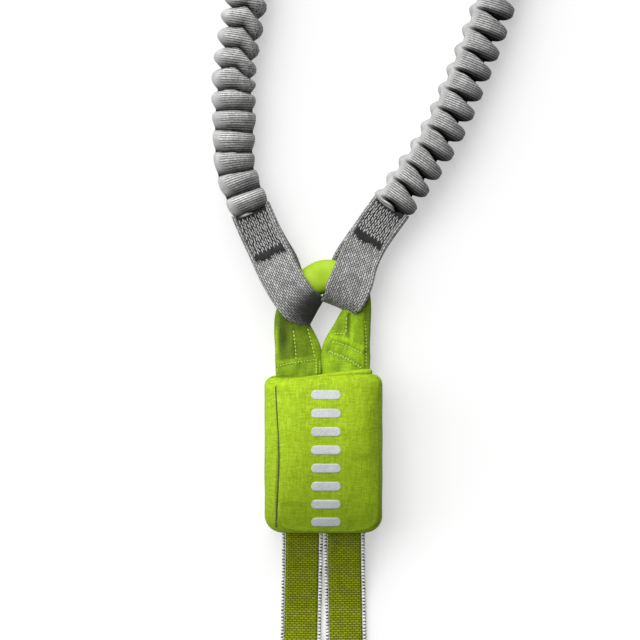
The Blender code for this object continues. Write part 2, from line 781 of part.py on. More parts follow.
def build_lower_loop(side, layer, layer_shares):
    """An arm's lower end: two stitched layers that open into a loop round the load loop."""
    apart = (STITCHED_THICKNESS + GAP) / 2
    crossing = APEX_THICKNESS / 2 + 2 * GAP + ARM_WEBBING_THICKNESS / 2
    resting = GAP + ARM_WEBBING_THICKNESS / 2
    front, back = [], []
    for (x, y, turn), (sinking, opening, width) in zip(layer, layer_shares):
        middle = ARM_HEIGHT + sinking * (LOAD_LOOP_REST_HEIGHT - ARM_HEIGHT)
        half = apart + opening * (crossing - apart)
        front.append((x, APEX_Y + y, middle + half, turn, width))
        back.append((x, APEX_Y + y, max(middle - half, resting), turn, width))
    fold_x, fold_y, _, turn, width = back.pop()
    front[-1] = (fold_x, fold_y, LOAD_LOOP_REST_HEIGHT, turn, width)
    rows = smooth_through(front + back[::-1], LOOP_STEPS)
    centres = [Vector((x, y, max(z, resting))) for x, y, z, _, _ in rows]
    widths = [width_at(row[3]) for row in rows]
    outlines = []
    for row in rows:
        from_end = (Vector(row[:2]) - Vector(front[0][:2])).length
        thickness = STITCHED_THICKNESS if from_end < STITCHED_LENGTH else ARM_WEBBING_THICKNESS
        outlines.append(strap_outline(row[4] * ARM_WEBBING_WIDTH / 2, thickness / 2))
    add_piece(
        f"arm_{side}_lower_loop",
        loft_mesh("lower loop", centres, widths, outlines),
        GREY_WEBBING,
    )


def tube_mesh(name, line, radii, depth, resolution):
    """A round tube along a line, with its radius at each point as a share of its depth."""
    curve = bpy.data.curves.new(name, "CURVE")
    curve.dimensions = "3D"
    curve.bevel_depth = depth
    curve.bevel_resolution = resolution
    curve.use_fill_caps = True
    curve.twist_mode = "Z_UP"
    spline = curve.splines.new("POLY")
    spline.points.add(len(line) - 1)
    for point, place, radius in zip(spline.points, line, radii):
        point.co = (*place, 1)
        point.radius = radius
    guide = bpy.data.objects.new(name, curve)
    CUTTERS.objects.link(guide)
    return mesh_of_curve(guide, name)


def arm_line(route):
    """An arm's middle line from its route in plan, evenly spaced by half a gather."""
    rows = smooth_through([(x, APEX_Y + y, ARM_HEIGHT) for x, y in route], ROUTE_STEPS)
    line = [Vector(row) for row in rows]
    start, end = tangents(line)[0], tangents(line)[-1]
    line[0] = line[0] + start * GAP
    line[-1] = line[-1] - end * GAP
    return spaced_along(line, GATHER_PITCH / 2)


def build_arm(side, route):
    """The gathered sleeve, with a bore for the elastic core that draws it together."""
    line = arm_line(route)
    radii = []
    for i in range(len(line)):
        at_end = i in (0, len(line) - 1)
        radii.append(SLEEVE_WAIST_RADIUS / SLEEVE_RADIUS if i % 2 == 0 or at_end else 1.0)
    sleeve = add_piece(
        f"arm_{side}_sleeve",
        tube_mesh("gathered sleeve", line, radii, SLEEVE_RADIUS, 2),
        GREY_WEBBING,
    )
    start, end = tangents(line)[0], tangents(line)[-1]
    inner = line[2:-2:2]
    ones = [1.0] * (len(inner) + 2)
    past = [line[0] - start * CUT_OVERRUN] + inner + [line[-1] + end * CUT_OVERRUN]
    bore = CORE_RADIUS + 2 * GAP
    subtract(
        sleeve,
        add_cutter(f"bore of the {side} arm", tube_mesh("bore", past, ones, bore, 1)),
    )
    within = [line[0] + start * CORE_SETBACK] + inner + [line[-1] - end * CORE_SETBACK]
    add_piece(
        f"arm_{side}_core",
        tube_mesh("elastic core", within, ones, CORE_RADIUS, 1),
        ELASTIC,
    )


def build_upper_loop(side, end, bar_height):
    """An arm's upper end: two stitched layers that open into a loop round the connector's bar."""
    x, y = end
    start = y + GAP
    half_seat = SEAT_THICKNESS / 2
    layer = STITCHED_THICKNESS / 2 + GAP / 2
    off = half_seat + GAP + ARM_WEBBING_THICKNESS / 2
    inner = y + UPPER_LOOP_REACH
    outer = inner - 2 * BAR_HALF_WIDTH
    past = inner + 2 * GAP + ARM_WEBBING_THICKNESS / 2
    corner = off / 3
    front = [
        (start, ARM_HEIGHT + layer),
        (y + STITCHED_LENGTH / 2, ARM_HEIGHT + layer),
        (y + STITCHED_LENGTH, ARM_HEIGHT + layer),
        ((y + STITCHED_LENGTH + outer) / 2, (ARM_HEIGHT + layer + bar_height + off) / 2 + layer / 2),
        (outer, bar_height + off),
        ((outer + inner) / 2, bar_height + off),
        (past - corner, bar_height + off),
        (past, bar_height + off - corner),
    ]
    back = [
        (past, bar_height - off + corner),
        (past - corner, bar_height - off),
        ((outer + inner) / 2, bar_height - off),
        (outer, bar_height - off),
        ((y + STITCHED_LENGTH + outer) / 2, (ARM_HEIGHT - layer + bar_height - off) / 2 + layer / 2),
        (y + STITCHED_LENGTH, ARM_HEIGHT - layer),
        (y + STITCHED_LENGTH / 2, ARM_HEIGHT - layer),
        (start, ARM_HEIGHT - layer),
    ]
    centres = [Vector((x, along, height)) for along, height in front + back]
    outlines = []
    for centre in centres:
        stitched = centre.y <= y + STITCHED_LENGTH
        thickness = STITCHED_THICKNESS if stitched else ARM_WEBBING_THICKNESS
        outlines.append(strap_outline(ARM_WEBBING_WIDTH / 2, thickness / 2))
    add_piece(
        f"arm_{side}_upper_loop",
        loft_mesh("upper loop", centres, [SIDE_X] * len(centres), outlines),
        GREY_WEBBING,
    )
    keeper_middle = (y + STITCHED_LENGTH + outer) / 2
    span = outer - y - STITCHED_LENGTH
    front_rise = KEEPER_LENGTH / 2 * abs(front[4][1] - front[2][1]) / span
    back_rise = KEEPER_LENGTH / 2 * abs(back[3][1] - back[5][1]) / span
    clear = ARM_WEBBING_THICKNESS / 2 + 2 * GAP
    above = front[3][1] + clear + front_rise
    below = back[4][1] - clear - back_rise
    ring = rounded_box(
        ARM_WEBBING_WIDTH / 2 + GAP + KEEPER_WALL,
        (above - below) / 2 + KEEPER_WALL,
        KEEPER_WALL + GAP,
        2,
    )
    middle = (above + below) / 2
    ends = [
        Vector((x, keeper_middle + edge * KEEPER_LENGTH / 2, middle)) for edge in (-1, 1)
    ]
    keeper = add_piece(
        f"keeper_{side}", loft_mesh("keeper", ends, [SIDE_X] * 2, [ring] * 2, False), BLACK_RUBBER
    )
    thicken(keeper, KEEPER_WALL)


def arc_points(centre, radius, start_degrees, end_degrees, steps):
    """Points along an arc in plan, both ends kept."""
    made = []
    for k in range(steps + 1):
        turn = math.radians(start_degrees + (end_degrees - start_degrees) * k / steps)
        made.append((centre[0] + radius * math.cos(turn), centre[1] + radius * math.sin(turn)))
    return made


def frame_line():
    """The middle line of the connector's frame, from the nose round the basket and spine to the gate pivot."""
    basket_low = BASKET_Y - BASKET_RADIUS
    made = [(NOSE_X, NOSE_Y)]
    made += arc_points((GATE_SIDE_X - BASKET_RADIUS, basket_low), BASKET_RADIUS, 6, 90, 7)
    made += arc_points((SPINE_X + BASKET_RADIUS, basket_low), BASKET_RADIUS, HALF_TURN / 2, HALF_TURN, 7)
    foot = (SPINE_X + SPINE_FOOT_RADIUS, BAR_Y + SPINE_FOOT_RADIUS)
    made.append((SPINE_X, (basket_low + foot[1]) / 2))
    made += arc_points(foot, SPINE_FOOT_RADIUS, HALF_TURN, 1.5 * HALF_TURN, 4)
    made.append(((foot[0] + GATE_PIVOT_X) / 2, BAR_Y))
    made.append((GATE_PIVOT_X, BAR_Y))
    return [Vector((x, y, 0)) for x, y in made]


def band_outline(line, half_widths):
    """The outline of a band drawn along a line, with its half width at each point."""
    left, right = [], []
    for point, along, half in zip(line, tangents(line), half_widths):
        across = Vector((-along.y, along.x, 0)) * half
        left.append(point + across)
        right.append(point - across)
    return [(p.x, p.y) for p in left + right[::-1]]


def frame_outline():
    """The frame's outline in plan, with a round end at the gate pivot."""
    line = frame_line()
    half_widths = []
    for point in line:
        if point.y >= BASKET_Y - BASKET_RADIUS:
            half_widths.append(FRAME_HALF_WIDTH)
        elif point.x > SPINE_X + SPINE_FOOT_RADIUS / 2:
            half_widths.append(BAR_HALF_WIDTH)
        else:
            half_widths.append(FRAME_HALF_WIDTH)
    half_widths[0] = NOSE_HALF_WIDTH
    outline = band_outline(line, half_widths)
    count = len(line)
    end = arc_points((GATE_PIVOT_X, BAR_Y), BAR_HALF_WIDTH, 90, -90, 8)
    return outline[: count - 1] + end + outline[count + 1 :]


def pocket_outline():
    """The recess in each face of the frame, along the basket and the spine."""
    line = frame_line()[2:17]
    shortened = [line[0].lerp(line[1], 0.5)] + line[1:-1] + [line[-2].lerp(line[-1], 0.72)]
    halves = [POCKET_HALF_WIDTH] * len(shortened)
    halves[0] = halves[-1] = POCKET_HALF_WIDTH * 0.6
    return band_outline(shortened, halves)


def place(mesh, origin, height):
    """Moves a connector piece's mesh from its own frame to its place."""
    mesh.transform(Matrix.Translation((origin[0], origin[1], height)))
    return mesh


def pivot_piece(name, mesh, finish, pivot, height):
    """A moving piece whose object's origin is on its joint's axis."""
    centre = Vector((pivot[0], pivot[1], height))
    mesh.transform(Matrix.Translation(-centre))
    piece = add_piece(name, mesh, finish)
    piece.location = centre
    return piece


def build_frame(side, origin, height):
    """The forged frame: recessed faces, a sling seat, a fork for the gate and a slot for the lever."""
    mesh = place(plate_mesh("frame", [frame_outline()], FRAME_THICKNESS), origin, height)
    frame = add_piece(f"connector_{side}_frame", mesh, ANODISED_GREY)
    bevel_edges(frame, FRAME_BEVEL)

    def cut(name, low, high):
        cutter = box_mesh(name, low, high)
        subtract(frame, add_cutter(f"{name} {side}", place(cutter, origin, height)))

    deep = FRAME_THICKNESS / 2 + CUT_OVERRUN
    seat_left = SEAT_MIDDLE_X - ARM_WEBBING_WIDTH / 2 - 2 * GAP
    seat_right = SEAT_MIDDLE_X + ARM_WEBBING_WIDTH / 2 + 2 * GAP
    bar_low = BAR_Y - BAR_HALF_WIDTH - CUT_OVERRUN
    bar_high = BAR_Y + BAR_HALF_WIDTH + CUT_OVERRUN
    half_seat = SEAT_THICKNESS / 2
    cut("seat above", (seat_left, bar_low, half_seat), (seat_right, bar_high, deep))
    cut("seat below", (seat_left, bar_low, -deep), (seat_right, bar_high, -half_seat))
    slot = LEVER_PLATE_THICKNESS / 2 + GAP
    ceiling = LEVER_TIP_TOP + 1.6 * GAP
    tip_end = LEVER_TIP_X + 2 * GAP + LEVER_ARM_HEIGHT / 2
    cut("lever slot", (LEVER_PIVOT_X, bar_low, -slot), (tip_end, ceiling, slot))
    outside = SPINE_X - FRAME_HALF_WIDTH - CUT_OVERRUN
    neck_top = PALM_FOOT_Y + 2 * LEVER_BOSS_RADIUS
    cut("neck slot", (outside, bar_low, -slot), (LEVER_PIVOT_X, neck_top, slot))
    boss = cylinder_mesh(
        "boss slot", (LEVER_PIVOT_X, LEVER_PIVOT_Y, 0), LEVER_BOSS_RADIUS + 2 * GAP, 2 * slot
    )
    subtract(frame, add_cutter(f"boss slot {side}", place(boss, origin, height)))
    fork = GATE_TONGUE_THICKNESS / 2 + GAP
    fork_left = GATE_PIVOT_X - GATE_HEEL_REACH - 4 * GAP
    fork_floor = GATE_PIVOT_Y - GATE_BOSS_RADIUS - 3 * GAP
    fork_right = GATE_PIVOT_X + BAR_HALF_WIDTH + CUT_OVERRUN
    cut("fork", (fork_left, fork_floor, -fork), (fork_right, bar_high, fork))
    for name, x, y, radius in (
        ("rivet hole", GATE_PIVOT_X, GATE_PIVOT_Y, RIVET_RADIUS + GAP),
        ("pin hole", LEVER_PIVOT_X, LEVER_PIVOT_Y, LEVER_PIN_RADIUS + GAP),
    ):
        hole = cylinder_mesh(name, (x, y, 0), radius, 2 * deep)
        subtract(frame, add_cutter(f"{name} {side}", place(hole, origin, height)))
    nose_low = NOSE_Y - NOSE_TONGUE_LENGTH
    tongue = box_mesh(
        "nose tongue",
        (NOSE_X - NOSE_HALF_WIDTH * 0.7, nose_low, -NOSE_TONGUE_THICKNESS / 2),
        (NOSE_X + NOSE_HALF_WIDTH * 0.6, NOSE_Y + CUT_OVERRUN, NOSE_TONGUE_THICKNESS / 2),
    )
    unite(frame, add_cutter(f"nose tongue {side}", place(tongue, origin, height)))
    for face, name in ((1, "upper recess"), (-1, "lower recess")):
        depth = POCKET_DEPTH + CUT_OVERRUN
        middle = face * (FRAME_THICKNESS / 2 - POCKET_DEPTH + depth / 2)
        recess = plate_mesh(name, [pocket_outline()], depth, middle)
        subtract(frame, add_cutter(f"{name} {side}", place(recess, origin, height)))


def build_gate(side, origin, height):
    """The gate: a bar from its root between the frame's ears to a fork that takes the nose."""
    pivot = (GATE_PIVOT_X, GATE_PIVOT_Y)
    tip_y = NOSE_Y - GAP - CUT_OVERRUN / 4
    shoulder_y = GATE_PIVOT_Y + 2.4 * GATE_BOSS_RADIUS
    lean = (NOSE_X - GATE_PIVOT_X) / (NOSE_Y - GATE_PIVOT_Y)
    shoulder_x = GATE_PIVOT_X + lean * (shoulder_y - GATE_PIVOT_Y)
    half = GATE_HALF_WIDTH
    outline = [
        (NOSE_X - half, tip_y),
        (shoulder_x - half, shoulder_y),
        (GATE_PIVOT_X - GATE_BOSS_RADIUS, GATE_PIVOT_Y + GATE_HEEL_DROP),
        (GATE_PIVOT_X - GATE_HEEL_REACH, GATE_PIVOT_Y + GATE_HEEL_DROP),
        (GATE_PIVOT_X - GATE_HEEL_REACH, GATE_PIVOT_Y - GATE_HEEL_DROP),
    ]
    under = math.degrees(math.asin(GATE_HEEL_DROP / GATE_BOSS_RADIUS))
    outline += arc_points(pivot, GATE_BOSS_RADIUS, HALF_TURN + under, 2 * HALF_TURN, 9)
    outline += [(shoulder_x + half, shoulder_y), (NOSE_X + half, tip_y)]
    mesh = place(plate_mesh("gate", [outline], GATE_THICKNESS), origin, height)
    world_pivot = (origin[0] + pivot[0], origin[1] + pivot[1])
    gate = pivot_piece(f"connector_{side}_gate", mesh, BRIGHT_ALUMINIUM, world_pivot, height)
    bevel_edges(gate, GATE_BEVEL)
    low = GATE_PIVOT_Y - GATE_BOSS_RADIUS - CUT_OVERRUN
    ears_top = BAR_Y + BAR_HALF_WIDTH + 3 * GAP + GATE_BOSS_RADIUS * 0.6
    outer = FRAME_THICKNESS / 2 + CUT_OVERRUN
    tongue = GATE_TONGUE_THICKNESS / 2
    left = GATE_PIVOT_X - GATE_HEEL_REACH - CUT_OVERRUN
    right = GATE_PIVOT_X + BAR_HALF_WIDTH + CUT_OVERRUN
    for name, bottom, top in (("cheek above", tongue, outer), ("cheek below", -outer, -tongue)):
        cheek = box_mesh(name, (left, low, bottom), (right, ears_top, top))
        subtract(gate, add_cutter(f"{name} {side}", place(cheek, origin, height)))
    slot = NOSE_TONGUE_THICKNESS / 2 + GAP
    catch = box_mesh(
        "catch",
        (NOSE_X - 2 * half, NOSE_Y - NOSE_TONGUE_LENGTH - 4 * GAP, -slot),
        (NOSE_X + 2 * half, NOSE_Y + CUT_OVERRUN, slot),
    )
    subtract(gate, add_cutter(f"catch {side}", place(catch, origin, height)))
    hole = cylinder_mesh("gate bore", (*pivot, 0), RIVET_RADIUS + GAP, 2 * outer)
    subtract(gate, add_cutter(f"gate bore {side}", place(hole, origin, height)))
    rivet = cylinder_mesh("rivet", (*pivot, 0), RIVET_RADIUS, FRAME_THICKNESS - GAP)
    add_piece(f"connector_{side}_rivet", place(rivet, origin, height), STEEL)


def build_lever(side, origin, height):
    """The palm lever: a plate in the frame's slot that locks the gate's heel, and a grip outside the spine."""
    pivot = (LEVER_PIVOT_X, LEVER_PIVOT_Y)
    foot_x = SPINE_X - FRAME_HALF_WIDTH - PALM_CLEARANCE - PALM_HALF_WIDTH
    rise = PALM_TOP_Y - PALM_FOOT_Y
    top_x = foot_x - rise * math.tan(math.radians(LEVER_TRAVEL))
    arm_bottom = LEVER_TIP_TOP - LEVER_ARM_HEIGHT
    plate = [
        (LEVER_TIP_X, LEVER_TIP_TOP),
        (LEVER_PIVOT_X + LEVER_BOSS_RADIUS, LEVER_TIP_TOP),
    ]
    plate += arc_points(pivot, LEVER_BOSS_RADIUS, 30, 120, 4)
    plate += [
        (foot_x + PALM_HALF_WIDTH / 2, PALM_FOOT_Y + LEVER_BOSS_RADIUS),
        (foot_x - PALM_HALF_WIDTH / 2, PALM_FOOT_Y),
        (foot_x - PALM_HALF_WIDTH / 4, PALM_FOOT_Y - LEVER_BOSS_RADIUS),
    ]
    plate += arc_points(pivot, LEVER_BOSS_RADIUS, 215, 290, 4)
    plate += [(LEVER_PIVOT_X + LEVER_BOSS_RADIUS, arm_bottom), (LEVER_TIP_X, arm_bottom)]
    mesh = place(plate_mesh("lever plate", [plate], LEVER_PLATE_THICKNESS), origin, height)
    world_pivot = (origin[0] + pivot[0], origin[1] + pivot[1])
    lever = pivot_piece(f"connector_{side}_lever", mesh, LIME_ANODISED, world_pivot, height)
    line = [
        Vector((foot_x + PALM_HALF_WIDTH / 2, PALM_FOOT_Y - LEVER_BOSS_RADIUS, 0)),
        Vector((foot_x, PALM_FOOT_Y, 0)),
        Vector(((foot_x + top_x) / 2 - PALM_HALF_WIDTH / 4, (PALM_FOOT_Y + PALM_TOP_Y) / 2, 0)),
        Vector((top_x, PALM_TOP_Y - LEVER_BOSS_RADIUS, 0)),
        Vector((top_x - PALM_HALF_WIDTH / 2, PALM_TOP_Y, 0)),
    ]
    half_shares = (0.5, 0.9, 1.0, 0.9, 0.55)
    halves = [PALM_HALF_WIDTH * share for share in half_shares]
    grip = plate_mesh("palm grip", [band_outline(line, halves)], PALM_THICKNESS)
    palm = add_cutter(f"palm grip {side}", place(grip, origin, height))
    bevel_edges(palm, PALM_BEVEL)
    unite(lever, palm)
    for groove in range(GRIP_GROOVES):
        share = (groove + 1) / (GRIP_GROOVES + 1)
        x = foot_x + (top_x - foot_x) * share - PALM_HALF_WIDTH - GRIP_GROOVE_RADIUS / 2
        y = PALM_FOOT_Y + rise * share
        cutter = cylinder_mesh("groove", (x, y, 0), GRIP_GROOVE_RADIUS, 2 * PALM_THICKNESS, 10)
        subtract(lever, add_cutter(f"groove {groove} {side}", place(cutter, origin, height)))
    hole = cylinder_mesh("lever bore", (*pivot, 0), LEVER_PIN_RADIUS + GAP, 2 * FRAME_THICKNESS)
    subtract(lever, add_cutter(f"lever bore {side}", place(hole, origin, height)))
    pin = cylinder_mesh("lever pin", (*pivot, 0), LEVER_PIN_RADIUS, FRAME_THICKNESS - GAP)
    add_piece(f"connector_{side}_lever_pin", place(pin, origin, height), STEEL)


clear_scene()
PIECES = collection("via ferrata lanyard")
CUTTERS = collection("cutters")

LIME_CLOTH = material("lime pouch cloth", (0.33, 0.52, 0.02), 0.85)
LIME_GUARD = material("lime guard sleeve", (0.42, 0.66, 0.05), 0.55)
OLIVE_WEBBING = material("olive green webbing", (0.15, 0.2, 0.01), 0.8)
GREY_WEBBING = material("grey tubular webbing", (0.25, 0.25, 0.25), 0.85)
TEAR_WEBBING = material("white tear webbing", (0.7, 0.7, 0.68), 0.8)
ELASTIC = material("elastic core", (0.6, 0.6, 0.58), 0.6)
WHITE_THREAD = material("white thread", (0.75, 0.75, 0.72), 0.8)
BLACK_RUBBER = material("black rubber", (0.02, 0.02, 0.02), 0.6)
ANODISED_GREY = material("grey anodised aluminium", (0.2, 0.21, 0.22), 0.35, 1.0)
LIME_ANODISED = material("lime anodised aluminium", (0.35, 0.55, 0.05), 0.35, 1.0)
BRIGHT_ALUMINIUM = material("bright aluminium", (0.7, 0.7, 0.7), 0.3, 1.0)
STEEL = material("stainless steel", (0.6, 0.6, 0.6), 0.3, 1.0)

build_pouch()
build_tear_pack()
build_load_loop()
build_tie_in_loop()
for arm_side, arm_route, loop_layer, loop_shares in (
    ("left", LEFT_ROUTE, LEFT_LOOP, LEFT_LOOP_SHARES),
    ("right", RIGHT_ROUTE, RIGHT_LOOP, RIGHT_LOOP_SHARES),
):
    frame_height = FRAME_THICKNESS / 2
    straight_x, straight_y = arm_route[-1]
    whole_route = arm_route + [(straight_x, straight_y + UPPER_STRAIGHT)]
    arm_end = (straight_x, APEX_Y + straight_y + UPPER_STRAIGHT)
    frame_origin = (
        arm_end[0] - SEAT_MIDDLE_X,
        arm_end[1] + UPPER_LOOP_REACH - BAR_Y - BAR_HALF_WIDTH,
    )
    build_lower_loop(arm_side, loop_layer, loop_shares)
    build_arm(arm_side, whole_route)
    build_upper_loop(arm_side, arm_end, frame_height)
    build_frame(arm_side, frame_origin, frame_height)
    build_gate(arm_side, frame_origin, frame_height)
    build_lever(arm_side, frame_origin, frame_height)
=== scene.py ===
"""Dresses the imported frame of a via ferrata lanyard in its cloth, webbing, thread and metal.

Lengths are in metres. The lanyard lies on its back on the floor, which is Z = 0, and the pouch's middle is
the origin. The harness loop points to -Y and the two arms to +Y.
"""

import math
import random

import bmesh
import bpy
from mathutils import Matrix, Vector, noise
from mathutils.bvhtree import BVHTree


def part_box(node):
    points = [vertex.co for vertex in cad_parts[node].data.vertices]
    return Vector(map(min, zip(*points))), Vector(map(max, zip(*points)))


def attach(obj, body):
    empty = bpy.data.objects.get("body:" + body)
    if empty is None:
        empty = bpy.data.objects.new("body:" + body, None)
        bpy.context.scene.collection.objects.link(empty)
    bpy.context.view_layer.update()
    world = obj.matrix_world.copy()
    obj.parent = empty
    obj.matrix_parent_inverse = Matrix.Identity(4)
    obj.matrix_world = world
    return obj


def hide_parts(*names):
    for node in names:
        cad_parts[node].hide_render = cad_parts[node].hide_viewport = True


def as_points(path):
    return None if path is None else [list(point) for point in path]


MM = 0.001
SIDE_X = Vector((1, 0, 0))
UP_Z = Vector((0, 0, 1))
WELD = 0.004 * MM
LANYARD = "lanyard"
WEAVE_MAP = "weave"  # the UV map that a weave follows, in metres
# The openness is painted shade, and the fray's dark speckle is partly painted shade where the cloth turns
# from the light
SLEEVE_LOOKS = ("openness", "selvage", "fray_and_shade")  # what a sleeve's vertices say of the cloth there

# How two colours are mixed and how a number is brought to another range
MIX = {"data_type": "RGBA", "blend_type": "MIX"}
MULTIPLY = {"data_type": "RGBA", "blend_type": "MULTIPLY"}
SMOOTH = {"interpolation_type": "SMOOTHSTEP"}
LINEAR = {"interpolation_type": "LINEAR"}

# Each connector's pieces and their finishes
CONNECTOR_METALS = {
    "frame": "anodised", "gate": "bright", "rivet": "steel", "lever": "lime_metal",
    "lever_pin": "steel",
}

# Camera: straight above the pouch and the fork of the arms
VIEW_CENTRE = (-1.8 * MM, 70.3 * MM)
CAMERA_HEIGHT = 1.5
CAMERA_LENS = 159
CAMERA_SENSOR = 36

# Light: a wide softbox high on the left, a lower one behind the arms, a weaker one low on the left, and
# the pale room's fill. Each softbox has its direction, its strength and the angle it fills, in degrees.
SOFTBOXES = (
    ("high softbox", (-0.42, 0.3, 0.857), 1.95, 50),
    ("low softbox", (-0.05, 0.87, 0.49), 1.75, 40),
    ("side softbox", (-0.93, 0.12, 0.35), 1.25, 50),
)
ROOM_STRENGTH = 0.08
PAPER_TONE = 1.02  # the lit paper's brightness, a little over white
PAPER_GLOW = 0.5  # the part of it that is the same in light and shadow
PAPER_BOUNCE = 0.45  # how pale the paper is to the light that it throws back on the lanyard
FLOOR_HALF = 3.0

# Arms
ARM_HEIGHT = 12.2 * MM
SLEEVE_CREST = 11.7 * MM
SLEEVE_GROOVE = 5.7 * MM
GATHER_PITCH = 11 * MM
RIGHT_GATHER_PITCH = 11.3 * MM
RING_STEP = 0.55 * MM
SLEEVE_SIDES = 76
SLEEVE_CLOTH_EXCESS = 1.5  # cloth along a gather over the gather's pitch
GATHER_MIDLINE = 67.5 * MM  # the gathered cloth's way round the arm
ARM_WEBBING_WIDTH = 21.5 * MM
ARM_WEBBING_THICKNESS = 1.4 * MM
STITCHED_THICKNESS = 1.9 * MM
STITCHED_LENGTH = 24 * MM
STITCH_ROWS = 15
STITCH_ROW_GAP = 1.12 * MM
STITCH_PITCH = 2.3 * MM
CORE_RADIUS = 4.6 * MM
UPPER_LOOP_REACH = 57 * MM
BAR_HALF_WIDTH = 6.5 * MM
SEAT_THICKNESS = 7 * MM
CONNECTOR_HEIGHT = 5.5 * MM
GAP = 0.35 * MM

# Pouch
POUCH_HALF_WIDTH = 30.5 * MM
POUCH_HALF_LENGTH = 41 * MM
POUCH_DEPTH = 38 * MM
POUCH_SEAM_HEIGHT = 33 * MM
POUCH_WALL = 1.2 * MM
POUCH_END_RADII = ((-1, 9.5 * MM), (1, 5.5 * MM))  # at the harness loop's end and the load loop's
SIDE_SQUARENESS = (2.8, 4.4)  # how boxy the front's left and right sides are
POUCH_WEDGE = (  # Y and the heights of the seam and the crest, in millimetres
    (-41, 25.5, 26.5), (-36, 27, 28.6), (-30, 29.2, 31.6), (-24, 31, 34.2), (-16, 32.4, 36.4),
    (-8, 33, 38.4), (2, 33, 40.4), (14, 33, 41.3), (26, 33, 40.2), (35, 33, 38.6), (41, 32.6, 37.4),
)
TOPSTITCH_START = 35 * MM
TOPSTITCH_PITCH = 1.6 * MM
TOPSTITCH_COUNT = 46
DASH_X = 1.3 * MM
DASH_TOP = 31.6 * MM
DASH_PITCH = 9.5 * MM
DASH_COUNT = 8
DASH_HALF_LENGTH = 7.7 * MM
DASH_HALF_HEIGHT = 2.4 * MM
PACK_PITCH = 4.2 * MM
PACK_LENGTH = 43 * MM
PACK_RUNS = 9
PACK_HALF_WIDTH = 12 * MM
TACK_THREADS = 15

# Load loop
LOAD_LOOP_REACH = 53.8 * MM
LOAD_LOOP_HALF_SPREAD = 18 * MM
LOAD_LOOP_REST_HEIGHT = 10.4 * MM
LOAD_MOUTH_HEIGHT = 18.6 * MM
LEG_WIDTH = 24.8 * MM
LEG_THICKNESS = 9.4 * MM
APEX_THICKNESS = 14.4 * MM

# The lines on the legs' covers in plan, then each one's height and half width, all in millimetres. Then
# the pitch of the stitches on some of them and how far a zigzag swings.
COVER_LINES = {
    "left": {
        "inner_seam": ((-8.4, 66), (-6.1, 57.5), (-4.6, 50.6)),
        "middle_seam": ((-15.8, 65), (-14.7, 56), (-14.3, 49.4)),
        "band_seam": ((-24.6, 46), (-15.8, 47.9), (-4.4, 49.5)),
        "outer_seam": ((-24.2, 45), (-24, 42.6)),
        "tape_inner": ((-3.8, 50), (-3.6, 42.4)),
        "tape_outer": ((-1.9, 49), (-1.8, 42.4)),
    },
    "right": {
        "fold": ((13.6, 73), (13.3, 66), (13.2, 61.4)),
        "fold_seam": ((12.2, 72), (11.9, 63.6)),
        "band_seam": ((5.2, 63.2), (11.6, 63.2)),
        "welt": ((5, 61.4), (13.3, 59.2), (21.4, 55)),
        "welt_seam": ((4.4, 59), (12.6, 56.6), (20.4, 52.6)),
        "zigzag": ((2.6, 54), (11.8, 50.2), (20.2, 45.2)),
        "outer_seam": ((21.6, 70), (22.4, 60), (22.2, 46)),
    },
}
COVER_FORMS = {
    "inner_seam": (-0.5, 1.4), "middle_seam": (-0.5, 1.4), "band_seam": (-0.4, 1.2),
    "outer_seam": (-0.35, 1.2), "tape_inner": (0.3, 1.2), "tape_outer": (0.3, 1.2),
    "fold": (-1.1, 1.6), "fold_seam": (-0.2, 1.0), "welt": (1.1, 2.5), "welt_seam": (-0.3, 1.2),
    "zigzag": (-0.5, 2.2),
}
COVER_STITCHES = {
    "inner_seam": (1.9 * MM, 0), "middle_seam": (1.9 * MM, 0), "band_seam": (1.6 * MM, 0),
    "outer_seam": (1.9 * MM, 0), "tape_inner": (1.4 * MM, 0), "tape_outer": (1.4 * MM, 0),
    "fold_seam": (1.9 * MM, 0), "welt_seam": (1.7 * MM, 0), "zigzag": (1.5 * MM, 0.9 * MM),
}

# Harness loop
TIE_IN_REACH = 131 * MM
TIE_IN_HALF_SPREAD = 12 * MM
TIE_IN_MOUTH_HEIGHT = 14 * MM
TIE_IN_WIDTH = 20.5 * MM
TIE_IN_THICKNESS = 2.4 * MM
PICOT_RADIUS = 1.15 * MM
PICOT_PITCH = 1.8 * MM
PICOT_TWIST = 1.6 * MM  # the length of one turn of its thread
PICOT_STEP = 0.28 * MM

# The arms' routes in plan, in millimetres
LEFT_ROUTE = (
    (-37.4, 126), (-42.1, 137.4), (-46.2, 149), (-47.2, 161), (-47, 173),
    (-47.3, 185), (-47.3, 197), (-45.8, 210), (-43.4, 224), (-41.2, 238),
    (-39, 262), (-38.6, 292), (-41, 322), (-45.5, 354), (-50, 388),
    (-53, 422), (-54, 456), (-53, 488), (-52, 515), (-52, 540),
)
RIGHT_ROUTE = (
    (34.8, 128.5), (41.6, 138.2), (48.6, 147.9), (55.4, 157.8), (61.5, 168.1),
    (66.9, 178.7), (71.8, 190.4), (76.7, 201.9), (81.5, 213.8), (85.9, 225.8),
    (90.1, 238.7), (96.3, 262.5), (100.5, 290.3), (101.4, 320.1), (99.4, 350),
    (95.3, 382), (90.7, 414), (87.4, 446), (85.6, 478), (85, 503),
    (85, 528),
)

